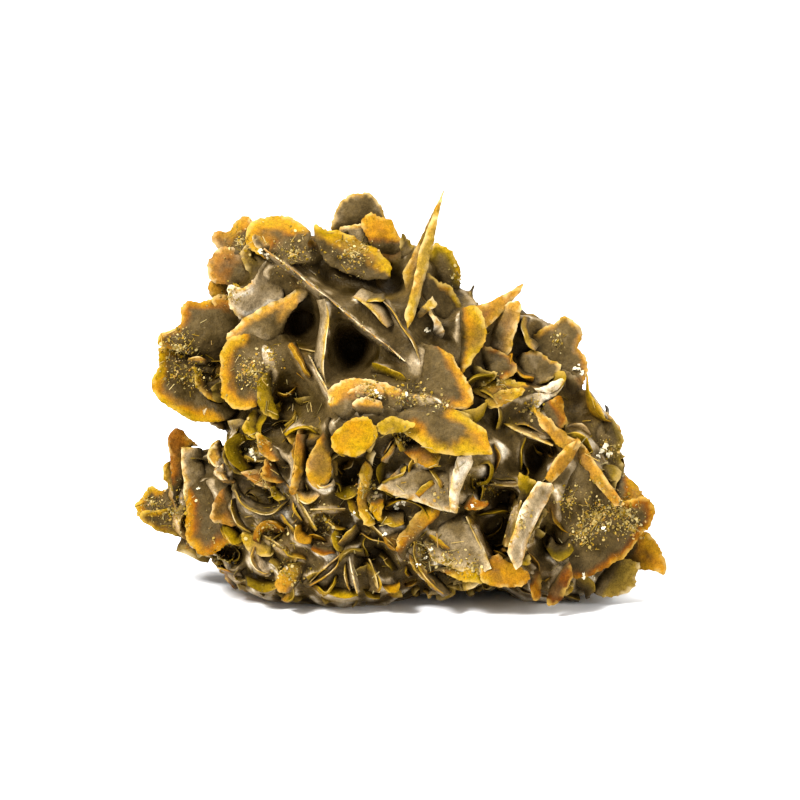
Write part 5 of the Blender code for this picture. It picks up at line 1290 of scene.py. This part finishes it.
def grain_forms():
    """The two forms that grains share, one unit in half length: a six-sided tablet and a needle."""
    tablet, needle = bmesh.new(), bmesh.new()
    bmesh.ops.create_circle(tablet, cap_ends=True, segments=6, radius=1)
    for vert in thickened(tablet, (0, 0, 1)):
        vert.co.z = 1
    bmesh.ops.create_cube(needle, size=1)
    bmesh.ops.scale(needle, vec=(2, 1, 1), verts=needle.verts)
    bmesh.ops.translate(tablet, vec=(0, 0, -0.5), verts=tablet.verts)
    return mesh_of(tablet), mesh_of(needle)


def grain_size(rng):
    """Half a grain's breadth: most are fine, a few are coarse."""
    return 0.06 + 0.20 * rng.random() ** 2.5


def grain(shape, forms, place, out, rng, size, tilt, needles=0.25):
    """One grain, laid on the surface and tilted out of it."""
    if rng.random() < needles:
        points, faces = forms[1]
        points = points * (size * rng.uniform(1.2, 3.2), size * 0.26, size * 0.2)
    else:
        points, faces = forms[0]
        points = points * (size, size * rng.uniform(0.6, 0.95), size * rng.uniform(0.2, 0.45))
    way = any_way(rng)
    normal = (out * (1 - tilt) + way * tilt).normalized()
    flat = normal.orthogonal().normalized()
    flat = (Matrix.Rotation(rng.uniform(0, 6.28), 3, normal) @ flat).normalized()
    turned = np.array((tuple(flat), tuple(normal.cross(flat)), tuple(normal)))
    tone = clamped(rng.gauss(0.40, 0.14))
    values = same_look(np.zeros(len(points)), 1.0, tone, rng.random())
    shape.add(points @ turned + np.array(place + out * size * 0.25), faces, values)


def edge_places(name, count, rng):
    """Places beside the edge of a blade seen on edge."""
    _, start, end, back, bulge = RIDGES[name]
    for _ in range(count):
        share = rng.random()
        place = Vector(start).lerp(Vector(end), share)
        place -= Vector(back).normalized() * (bulge * math.sin(math.pi * share))
        yield place.x + rng.gauss(0, 0.16), place.y + rng.gauss(0, 0.16)


def seen_from_front(tree, across, up):
    """The place and the way out of the surface that shows here, or None."""
    place, out, _, _ = tree.ray_cast(Vector((across, up, IN_FRONT)), Vector((0, 0, 1)))
    if place is None or height_at_rest(place) < 0.4:
        return None
    return place, -out if out.z > 0 else out


def druse(tree, plates_tree, points, normals, rng):
    """Sugary grains: in patches on the show side, needles in the nest, and looser patches all round."""
    shape = Shape()
    forms = grain_forms()
    tilts = (0.35, 0.8, 0.9)
    for across, up, radius, count in DRUSE:
        for _ in range(count):
            reach = radius * abs(rng.gauss(0, 0.55))
            turn = rng.uniform(0, 2 * math.pi)
            hit = seen_from_front(tree, across + reach * math.cos(turn), up + reach * math.sin(turn))
            if hit:
                grain(shape, forms, *hit, rng, grain_size(rng), rng.choice(tilts))
    for across, up, half_across, half_up, count in NEEDLES:
        for _ in range(count):
            hit = seen_from_front(
                tree, across + rng.uniform(-1, 1) * half_across, up + rng.uniform(-1, 1) * half_up
            )
            if hit and (plates_tree.find(hit[0])[2] > 0.7 or rng.random() < 0.2):
                grain(shape, forms, *hit, rng, rng.uniform(0.14, 0.36), rng.choice((0.2, 0.5)), 1.0)
    for name, count in GLITTERING.items():
        for across, up in edge_places(name, count, rng):
            hit = seen_from_front(tree, across, up)
            if hit:
                grain(shape, forms, *hit, rng, rng.uniform(0.05, 0.16), 0.8)
    patchy = spread(points, 11, 0.13)
    for index in rng.sample(range(len(points)), min(len(points), LOOSE_GRAINS)):
        place, out = Vector(points[index]), Vector(normals[index])
        if patchy[index] < 0.12 or height_at_rest(place) < 0.6 or out.z < -0.3:
            continue
        grain(shape, forms, place, out, rng, grain_size(rng), rng.choice(tilts))
    return shape


def glint_form():
    """A six-sided block with a narrower top."""
    bm = bmesh.new()
    bmesh.ops.create_cone(bm, cap_ends=True, segments=6, radius1=0.9, radius2=0.35, depth=1.5)
    bmesh.ops.scale(bm, vec=(1.0, 0.6, 1), verts=bm.verts)
    return mesh_of(bm)


def glints(tree, rng):
    """Pale crystals that glitter, each a little pile of blocks."""
    shape = Shape()
    form, faces = glint_form()
    for across, up, size in GLINTS:
        for _ in range(4):
            beside, above = (rng.uniform(-0.4, 0.4) * size for _ in range(2))
            place = tree.ray_cast(Vector((across + beside, up + above, IN_FRONT)), Vector((0, 0, 1)))[0]
            if place is None:
                continue
            half = size * rng.uniform(0.20, 0.44)
            way = any_way(rng).normalized()
            turned = np.array(Matrix.Rotation(rng.uniform(0, 3), 3, way))
            points = form @ turned * half + np.array(place) - (0, 0, half * 0.5)
            shape.add(points, faces, np.ones((len(form), 4)))
    return shape


def tree_of(shapes):
    """A tree for casting rays at several lots of points and faces."""
    points, faces, count = [], [], 0
    for lot_points, lot_faces in shapes:
        points += [tuple(p) for p in lot_points]
        faces += [tuple(i + count for i in face) for face in lot_faces]
        count += len(lot_points)
    return BVHTree.FromPolygons(points, faces)


def nearest_in(points):
    """A tree that finds the nearest of many points."""
    tree = KDTree(len(points))
    for index, p in enumerate(points):
        tree.insert(p, index)
    tree.balance()
    return tree


def directions(count):
    """Ways spread evenly over a half ball, thicker towards its top."""
    made = []
    for number in range(count):
        level = math.sqrt((number + 0.5) / count)
        turn = number * math.pi * (3 - math.sqrt(5))
        made.append((level * math.cos(turn), level * math.sin(turn), math.sqrt(1 - level * level)))
    return made


def buried(points, normals, tree, rays, reach):
    """How closed in each place is, from 0 in the open to 1 deep in a pit; the pieces paint it as shade."""
    ways = directions(rays)
    out = np.empty(len(points))
    for number, (p, n) in enumerate(zip(points, normals)):
        normal = Vector(n)
        side = normal.orthogonal().normalized()
        other = normal.cross(side)
        start = Vector(p) + normal * 0.12
        closed = 0.0
        for a, b, c in ways:
            hit = tree.ray_cast(start, side * a + other * b + normal * c, reach)
            if hit[3] is not None:
                closed += 1 - 0.6 * hit[3] / reach
        out[number] = closed / rays
    return out


def vertex_normals(points, faces):
    """Normals of a lot of faces, by vertex."""
    mesh = bpy.data.meshes.new("normals")
    mesh.from_pydata([tuple(p) for p in points], [], faces)
    out = np.empty(len(points) * 3, np.float32)
    mesh.vertex_normals.foreach_get("vector", out)
    bpy.data.meshes.remove(mesh)
    return out.reshape(-1, 3)


def averaged(values, faces, times):
    """Values smoothed over the mesh's edges."""
    pairs = {(min(a, b), max(a, b)) for face in faces for a, b in zip(face, face[1:] + face[:1])}
    pairs = np.array(sorted(pairs))
    values = np.asarray(values, float)
    flat = values.reshape(len(values), -1)
    counts = np.bincount(pairs.ravel(), minlength=len(values)).astype(float)[:, None] + 1
    for _ in range(times):
        total = flat.copy()
        for column in range(flat.shape[1]):
            total[:, column] += np.bincount(pairs[:, 0], flat[pairs[:, 1], column], len(values))
            total[:, column] += np.bincount(pairs[:, 1], flat[pairs[:, 0], column], len(values))
        flat = total / counts
    return flat.reshape(values.shape)


def piece(name, points, faces, values, material, smooth):
    """A finished piece of the specimen, leaned and in metres, with its values as attributes."""
    matrix = np.array(resting())
    world = points @ matrix[:3, :3].T + matrix[:3, 3]
    mesh = bpy.data.meshes.new(name)
    mesh.from_pydata([tuple(p) for p in world], [], faces)
    for key, column in values.items():
        layer = mesh.attributes.new(key, "FLOAT", "POINT")
        layer.data.foreach_set("value", np.asarray(column, np.float32))
    mesh.polygons.foreach_set("use_smooth", smooth)
    mesh.materials.append(material)
    mesh.update()
    obj = bpy.data.objects.new(name, mesh)
    bpy.context.scene.collection.objects.link(obj)
    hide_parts("wulfenite_cluster")
    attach(obj, "root")


def blade_values(points, values, painted_shade, web_tree):
    """The attributes of blades: gold at the free rims, grey where they leave the mass, a painted highlight
    along the rims, and the painted shade that is given.
    """
    rim, band, tone, pale = values.T
    found = [web_tree.find_nearest(Vector(p), 3.0)[3] for p in points]
    free = np.array([3.0 if gap is None else gap for gap in found])
    rough = spread(points, 20, 0.17) * 0.8 + spread(points, 21, 0.55) * 0.5 + spread(points, 22, 1.8) * 0.25
    at_rim = 1 - smoothstep(0.50, 1.35, rim / band + rough)
    gold = np.clip(at_rim * (0.30 + 0.75 * smoothstep(0.1, 1.0, free)), 0, 1)
    # A painted highlight: a thin bright line along the free rims, broken up by noise.
    edge = (1 - smoothstep(0.02, 0.16, rim)) * smoothstep(0.1, 0.8, free)
    edge *= smoothstep(-0.30, 0.25, spread(points, 24, 0.9))
    pale = pale * (0.45 + 0.55 * (1 - smoothstep(0.2, 1.5, rim + rough * 0.6)))
    inwards = smoothstep(0.15, 1.1, rim / band)
    tone = tone + np.where(tone > 0.42, 0.22, -0.22) * inwards + spread(points, 23, 0.35) * 0.12
    tone = np.clip(tone, 0, 1)
    return {"gold": gold, "tone": tone, "pale": pale, "painted_shade": painted_shade, "edge": edge}


class Graph:
    """A short way to build the nodes of a material or of a group."""

    def __init__(self, tree):
        self.nodes, self.links = tree.nodes, tree.links

    def node(self, kind, inputs=None, **settings):
        made = self.nodes.new(kind)
        for key, value in settings.items():
            setattr(made, key, value)
        for key, value in (inputs or {}).items():
            if isinstance(value, bpy.types.NodeSocket):
                self.links.new(value, made.inputs[key])
            else:
                made.inputs[key].default_value = value
        return made

    def value(self, name):
        return self.node("ShaderNodeAttribute", attribute_name=name).outputs["Fac"]

    def math(self, operation, a, b=0.0, clamp=False, c=0.5):
        inputs = {0: a, 1: b, 2: c}
        return self.node("ShaderNodeMath", inputs, operation=operation, use_clamp=clamp).outputs[0]

    def mix(self, share, a, b):
        return self.node("ShaderNodeMix", {0: share, 6: a, 7: b}, data_type="RGBA").outputs[2]

    def shaded(self, colour, value):
        return self.node("ShaderNodeHueSaturation", {"Color": colour, "Value": value}).outputs[0]

    def grouped(self, tree, inputs):
        return self.node("ShaderNodeGroup", inputs, node_tree=tree).outputs["Colour"]

    def ramp(self, share, stops):
        made = self.node("ShaderNodeValToRGB", {"Fac": share})
        ramp = made.color_ramp
        for position, colour in stops[2:]:
            ramp.elements.new(position)
        for element, (position, colour) in zip(ramp.elements, stops):
            element.position = position
            element.color = (*colour, 1)
        return made.outputs["Color"]

    def noise(self, scale, detail=3.0, rough=0.55):
        place = self.node("ShaderNodeTexCoord").outputs["Object"]
        inputs = {"Vector": place, "Scale": scale, "Detail": detail, "Roughness": rough}
        return self.node("ShaderNodeTexNoise", inputs).outputs["Fac"]


# Colours of a clean crystal by its tone, and of a dusty one by its paleness.
TONES = (
    (0.0, (0.045, 0.028, 0.001)),
    (0.25, (0.112, 0.069, 0.001)),
    (0.48, (0.250, 0.147, 0.001)),
    (0.66, (0.262, 0.116, 0.001)),
    (0.84, (0.160, 0.050, 0.001)),
    (1.0, (0.068, 0.018, 0.001)),
)
GREYS = (
    (0.0, (0.016, 0.009, 0.001)),
    (0.35, (0.078, 0.051, 0.018)),
    (0.7, (0.26, 0.193, 0.106)),
    (1.0, (0.72, 0.64, 0.49)),
)
DUSTY_GOLD, FROSTED_GRAIN = (0.44, 0.27, 0.07, 1), (0.62, 0.50, 0.22, 1)
# Colours of the painted highlight along the rims, gold and pale.
PAINTED_RIM_HIGHLIGHT, PAINTED_PALE_RIM_HIGHLIGHT = (0.50, 0.32, 0.06, 1), (0.80, 0.72, 0.52, 1)
# Colours of the painted shade in hollows: on grey, on gold and on grains.
PAINTED_SHADE_GREY, PAINTED_SHADE_GOLD, PAINTED_SHADE_GRAIN = (0.009, 0.005, 0.001, 1), (0.040, 0.019, 0.001, 1), (0.035, 0.02, 0.001, 1)
SHEEN = (1.0, 0.86, 0.60, 1)
PALE_GLINT = (0.72, 0.64, 0.44, 1)


def group(name, inputs):
    """A shader node group with these inputs and one colour: (tree, graph, inputs by name)."""
    tree = bpy.data.node_groups.new(name, "ShaderNodeTree")
    for key, kind in inputs.items():
        tree.interface.new_socket(key, in_out="INPUT", socket_type="NodeSocket" + kind)
    tree.interface.new_socket("Colour", in_out="OUTPUT", socket_type="NodeSocketColor")
    graph = Graph(tree)
    return tree, graph, graph.node("NodeGroupInput").outputs


def golden_group():
    """The colours of the crystals, from dark olive over gold to dark orange, paled by dust."""
    tree, g, given = group("golden", {"Tone": "Float", "Pale": "Float", "Pale colour": "Color"})
    golden = g.mix(given["Pale"], g.ramp(given["Tone"], TONES), given["Pale colour"])
    g.node("NodeGroupOutput", {"Colour": golden})
    return tree


def painted_shade_group():
    """Paints shade: darkens a colour where it lies deep in a hollow."""
    tree, g, given = group("painted_pit_shade", {"Colour": "Color", "Pit": "Float", "Deep colour": "Color"})
    g.node("NodeGroupOutput", {"Colour": g.mix(given["Pit"], given["Colour"], given["Deep colour"])})
    return tree


def new_material(name):
    """A material with its graph and its shader."""
    material = bpy.data.materials.new(name)
    material.use_nodes = True
    material.node_tree.nodes["Principled BSDF"].inputs["Metallic"].default_value = 0.0
    return material, Graph(material.node_tree), material.node_tree.nodes["Principled BSDF"]


def crystal_material(golden_tree, painted_shade_tree):
    """Golden rims with a painted highlight, grey dusty faces, painted shade that makes the pits brown-black,
    and pale ridges that are partly dust, partly painted highlight.
    """
    material, g, shader = new_material("wulfenite")
    gold, tone, pale, painted_shade = (g.value(name) for name in ("gold", "tone", "pale", "painted_shade"))
    cloud, speck, dust = g.noise(330), g.noise(1900, 2.0), g.noise(6500, 2.0)
    tone = g.math("ADD", tone, g.math("MULTIPLY_ADD", cloud, 0.5, c=-0.25), True)
    share = g.math("MULTIPLY", pale, 0.45, True)
    inputs = {"Tone": tone, "Pale": share, "Pale colour": DUSTY_GOLD}
    golden = g.grouped(golden_tree, inputs)
    greys = g.math("MULTIPLY_ADD", pale, 0.66, c=g.math("MULTIPLY_ADD", cloud, 0.9, c=-0.29))
    grey = g.ramp(greys, GREYS)
    fine = g.math("ADD", g.math("MULTIPLY", speck, 1.1), g.math("MULTIPLY", dust, 1.4))
    dusted = g.shaded(grey, g.math("ADD", fine, -0.22))
    golden = g.shaded(golden, g.math("ADD", fine, -0.28))
    base = g.mix(gold, dusted, golden)
    # The painted highlight: a thin bright line along the free rims.
    edges = g.mix(pale, PAINTED_RIM_HIGHLIGHT, PAINTED_PALE_RIM_HIGHLIGHT)
    base = g.mix(g.math("MULTIPLY", g.value("edge"), 0.55), base, edges)
    # The colour of the painted shade in the hollows, for grey and for gold.
    deep = g.mix(gold, PAINTED_SHADE_GREY, PAINTED_SHADE_GOLD)
    inputs = {"Colour": base, "Pit": painted_shade, "Deep colour": deep}
    g.links.new(g.grouped(painted_shade_tree, inputs), shader.inputs["Base Color"])
    g.links.new(g.math("MULTIPLY_ADD", gold, 0.22, c=0.36), shader.inputs["Roughness"])
    shader.inputs["Specular IOR Level"].default_value = 0.06
    shader.inputs["Specular Tint"].default_value = SHEEN
    height = g.math("ADD", g.math("MULTIPLY", speck, 0.7), g.math("MULTIPLY", dust, 0.4))
    height = g.math("ADD", height, g.math("MULTIPLY", g.noise(760, 4.0), 1.2))
    bump = g.node("ShaderNodeBump", {"Height": height, "Strength": 0.6, "Distance": 0.0003})
    g.links.new(bump.outputs["Normal"], shader.inputs["Normal"])
    return material


def druse_material(golden_tree, painted_shade_tree):
    """Small clean grains, some of them nearly white, darkened by painted shade where they lie closed in."""
    material, g, shader = new_material("wulfenite_druse")
    share = g.math("MULTIPLY", g.math("POWER", g.value("pale"), 3.0), 0.6)
    inputs = {"Tone": g.value("tone"), "Pale": share, "Pale colour": FROSTED_GRAIN}
    golden = g.grouped(golden_tree, inputs)
    inputs = {"Colour": golden, "Pit": g.value("painted_shade"), "Deep colour": PAINTED_SHADE_GRAIN}
    g.links.new(g.grouped(painted_shade_tree, inputs), shader.inputs["Base Color"])
    shader.inputs["Roughness"].default_value = 0.38
    shader.inputs["Specular IOR Level"].default_value = 0.25
    return material


def glint_material():
    """Pale and shiny, so that it catches the light."""
    material, _, shader = new_material("wulfenite_glint")
    shader.inputs["Base Color"].default_value = PALE_GLINT
    shader.inputs["Roughness"].default_value = 0.15
    return material


def specimen():
    """Builds every piece, from the grey mass outwards."""
    rng = random.Random(SEED)
    big, roots = Shape(), []
    for name, (thickness, depth, slope_across, slope_up, look, outline) in PLATES.items():
        if name in DRAPED:
            continue
        plane = plate_plane(depth, slope_across, slope_up, outline)
        free, sunk = free_side(name, outline), OVERHANGING_SUNK if name in OVERHANGING else SUNK_ROOT
        crystal(big, plane, look, thickness * THINNED, rng, name in STRAIGHT, free, sunk)
        if name not in ROOTLESS:
            roots.append(set_back(plane, look[3]))
    for name, (thickness, *line) in RIDGES.items():
        plane = ridge_plane(*line)
        crystal(big, plane, RIDGE_LOOKS.get(name, PLAIN_RIDGE), thickness * THINNED, rng, True)
        roots.append(plane)
    for name, (thickness, depth, slope_across, slope_up, look, outline) in FLAKES.items():
        plane = plate_plane(depth, slope_across, slope_up, outline)
        crystal(big, plane, look, thickness * THINNED, rng, False, free_side(name, outline))
    edges = {**CRESCENTS, **wild_crescents(random.Random(SEED + 2))}
    for thickness, depth, back, look, corners in edges.values():
        crescent(big, thickness, depth, back, look, corners, rng)
    rng = random.Random(SEED + 1)
    roots += rear_plates(big, rng)
    web_points, web_faces, web_normals = web_body(roots, edges)
    web_tree = tree_of([(web_points, web_faces)])

    big_points, big_values = big.gathered()
    big_tree = nearest_in(big_points)
    faces_tree = nearest_in(big_points[big_values[:, 0] > 0.9])
    nest = small_blades(web_points, web_normals, big_tree, faces_tree, rng)

    lots = {"plates": (big_points, big.faces, big_values)}
    for side, shape in nest.items():
        points, values = shape.gathered()
        lots["small_blades_" + side] = (points, shape.faces, values)
    whole = tree_of([(web_points, web_faces)] + [lot[:2] for lot in lots.values()])
    rays = PIT_RAYS

    groups = golden_group(), painted_shade_group()
    material = crystal_material(*groups)
    nearby = Shape()
    for name, (points, faces, values) in lots.items():
        normals = vertex_normals(points, faces)
        # Painted shade on the blades: darker where rays find them closed in.
        painted_shade = smoothstep(0.32, 0.84, buried(points, normals, whole, rays, PIT_REACH))
        shown = blade_values(points, values, painted_shade, web_tree)
        at_rim = values[:, 0] < 1e-3
        piece(name, points, faces, shown, material, [not at_rim[list(face)].all() for face in faces])
        nearby.add(points, [], np.column_stack((shown["gold"], shown["tone"], shown["pale"], painted_shade)))

    near_points, near_values = nearby.gathered()
    near_tree = nearest_in(near_points)
    found = [near_tree.find(p) for p in web_points]
    taken = near_values[[hit[1] for hit in found]]
    gap = np.array([hit[2] for hit in found])
    share = 1 - smoothstep(0.1, 0.55, gap)
    drape = 1 - smoothstep(0.2, 1.7, gap)
    low = smoothstep(25, 17, web_points[:, 1])
    # Painted shade on the mass: darker where rays find it closed in, less so low down, and darkest in the
    # hollows of PITS that face the show side.
    painted_shade = buried(web_points, web_normals, whole, rays, PIT_REACH)
    painted_shade = smoothstep(0.25, 0.75, painted_shade - 0.16 * low)
    facing = smoothstep(0.1, -0.4, web_normals[:, 2]) * smoothstep(2, -3, web_points[:, 2])
    for *ellipse, _ in PITS:
        painted_hollow_shade = 0.85 * facing * within_ellipse(web_points[:, 0], web_points[:, 1], ellipse)
        painted_shade = np.maximum(painted_shade, painted_hollow_shade)
    bulge = averaged(web_points, web_faces, 4) - web_points
    convex = np.clip(-(bulge * web_normals).sum(axis=1), -0.04, 0.018)
    shown_side = smoothstep(0.2, -0.4, web_normals[:, 2]) * smoothstep(4, -4, web_points[:, 2])
    # Paler low down and near the blades; the convex term makes ridges paler and creases darker, partly their
    # dust and partly painted highlight and painted shade.
    pale = 0.05 + 0.62 * low + 0.52 * averaged(drape, web_faces, 3) + convex * (19 + 9 * low)
    hidden = 0.17 + 0.30 * averaged(drape, web_faces, 3) + convex * 8
    # Painted light: the swells are painted paler.
    for *ellipse, _ in SWELLS:
        pale += 0.25 * within_ellipse(web_points[:, 0], web_points[:, 1], ellipse)
    pale = hidden + (pale - hidden) * averaged(shown_side, web_faces, 3)
    pale += 0.32 * spread(web_points, 31, 0.12) + 0.32 * spread(web_points, 32, 0.7)
    pale = np.clip(pale, 0, 0.9)
    crust = 0.8 * (1 - shown_side) * smoothstep(-0.05, 0.3, spread(web_points, 33, 0.25))
    shown = {
        "gold": averaged(np.maximum(taken[:, 0] * share, crust), web_faces, 2),
        "tone": averaged(taken[:, 1], web_faces, 3),
        "pale": pale * (1 - share) + np.clip(0.5 * pale + 0.5 * taken[:, 2], 0, 1) * share,
        "painted_shade": averaged(painted_shade, web_faces, 1),
        "edge": np.zeros(len(web_points)),
    }
    piece("crystal_mass", web_points, web_faces, shown, material, [True] * len(web_faces))

    grains = druse(whole, faces_tree, web_points, web_normals, rng)
    points, values = grains.gathered()
    # Painted shade on the grains, from how closed in every fourth one is.
    every = points[::4]
    closed = buried(every, np.tile((0, 0, -1), (len(every), 1)), whole, FEW_RAYS, PIT_REACH)
    pits = np.repeat(smoothstep(0.45, 1.0, closed), 4)[: len(points)]
    shown = {"tone": values[:, 2], "pale": values[:, 3], "painted_shade": pits}
    piece("druse", points, grains.faces, shown, druse_material(*groups), [False] * len(grains.faces))
    sparkling = glints(whole, rng)
    points, _ = sparkling.gathered()
    piece("glints", points, sparkling.faces, {}, glint_material(), [False] * len(sparkling.faces))


def rear_plates(big, rng):
    """Larger blades round the back, the ends and the top, with smaller ones between them."""
    made = []
    wide = bare_sites(SITE_SPACING, [])
    for number, (surface, out) in enumerate(bare_sites(CLOSE_SPACING, wide)):
        way = any_way(rng)
        flat = out.cross(way).normalized()
        if rng.random() < 0.4:
            steep = math.radians(rng.uniform(12, 35))
            upright = out.cross(flat) * math.cos(steep) + out * math.sin(steep)
        else:
            upright = (out + way * 0.3).normalized()
            upright = (upright - flat * upright.dot(flat)).normalized()
        length = rng.uniform(7.0, 11.5) if number < len(wide) else rng.uniform(3.5, 6.5)
        breadth = length * rng.uniform(0.6, 0.9)
        centre = surface + out * 0.3
        angular = rng.random() < 0.5
        count = 6 if angular else 9
        corners = []
        for corner in range(count):
            angle = 2 * math.pi * (corner + rng.uniform(-0.22, 0.22)) / count
            arm = Vector((math.cos(angle) * length / 2, math.sin(angle) * breadth / 2))
            arm *= rng.uniform(0.75, 1.12)
            share = 1.0
            while share > 0.15:
                end = centre + (flat * arm.x + upright * arm.y) * share
                if front_of_mass(end.x, end.y) is not None and height_at_rest(end) > 0.4:
                    break
                share -= 0.1
            corners.append(tuple(arm * share))
        tone = 0.48 + 0.7 * noise.noise(surface * 0.07) + rng.uniform(-0.25, 0.25)
        band, pale = rng.choice(BANDS), max(0.0, rng.uniform(-0.5, 0.4))
        look = (band, min(1.0, max(0.05, tone)), pale, 0.3)
        plane = (centre, flat, upright, np.array(corners))
        crystal(big, plane, look, rng.uniform(0.6, 1.0), rng, angular, np.array((0.0, 1.0)))
        made.append(plane)
    return made


def bare_sites(spacing, taken):
    """Places on the mass's outside, with the way out, which the show side's blades leave bare."""
    found = list(taken)
    for name, (middle, radii) in LUMPS.items():
        others = [values for other, values in LUMPS.items() if other != name]
        for number in range(SITES_PER_LUMP):
            height = 1 - 2 * (number + 0.5) / SITES_PER_LUMP
            turn = number * math.pi * (3 - math.sqrt(5))
            level = math.sqrt(1 - height * height)
            unit = (level * math.cos(turn), height, level * math.sin(turn))
            place = Vector(middle[i] + radii[i] * unit[i] for i in range(3))
            out = Vector(unit[i] / radii[i] for i in range(3)).normalized()
            within = any(
                sum(((place[i] - m[i]) / r[i]) ** 2 for i in range(3)) < 1.03 for m, r in others
            )
            crowded = any((place - other).length < spacing for other, _ in found)
            if not (within or out.z < -0.25 or crowded) and height_at_rest(place) > 2.5:
                found.append((place, out))
    return found


def aim(obj, target):
    obj.rotation_euler = (target - obj.location).to_track_quat("-Z", "Y").to_euler()


def softbox(name, place, size, power, colour=(1, 1, 1)):
    light = bpy.data.lights.new(name, "AREA")
    light.shape, light.size, light.energy, light.color = "SQUARE", size, power, colour
    obj = bpy.data.objects.new(name, light)
    bpy.context.scene.collection.objects.link(obj)
    obj.location = place
    aim(obj, Vector((0, 0, 0.025)))


def studio():
    """A pale floor, soft lights and the camera, which looks down by the specimen's lean."""
    floor = bpy.data.meshes.new("floor")
    floor.from_pydata([(-2, -2, 0), (2, -2, 0), (2, 2, 0), (-2, 2, 0)], [], [(0, 1, 2, 3)])
    pale = bpy.data.materials.new("floor")
    pale.use_nodes = True
    pale.node_tree.nodes["Principled BSDF"].inputs["Base Color"].default_value = (0.86, 0.86, 0.86, 1)
    pale.node_tree.nodes["Principled BSDF"].inputs["Roughness"].default_value = 0.9
    floor.materials.append(pale)
    obj = bpy.data.objects.new("floor", floor)
    bpy.context.scene.collection.objects.link(obj)
    obj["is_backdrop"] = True

    world = bpy.data.worlds.new("studio")
    world.use_nodes = True
    world.node_tree.nodes["Background"].inputs["Color"].default_value = (1, 1, 1, 1)
    world.node_tree.nodes["Background"].inputs["Strength"].default_value = 0.53
    bpy.context.scene.world = world
    softbox("key", Vector((-0.28, -0.32, 0.42)), 0.14, 7.6)
    softbox("fill", Vector((0.38, -0.30, 0.20)), 0.25, 1.6)
    softbox("top", Vector((0.05, 0.12, 0.50)), 0.30, 3.5)

    camera = bpy.data.cameras.new("camera")
    camera.lens, camera.clip_start, camera.clip_end = 400, 0.01, 10
    obj = bpy.data.objects.new("camera", camera)
    bpy.context.scene.collection.objects.link(obj)
    target = resting() @ Vector(VIEW_MIDDLE)
    away = Vector((0, -math.cos(LEAN), math.sin(LEAN)))
    obj.location = target + away * (FRAME_WIDTH * camera.lens / camera.sensor_width)
    aim(obj, target)
    bpy.context.scene.camera = obj
    bpy.context.scene.view_settings.view_transform = "Standard"


specimen()
studio()
boxes = {"cad": cad_box, "visual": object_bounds()}
{key: [list(corner) for corner in box] for key, box in boxes.items()}
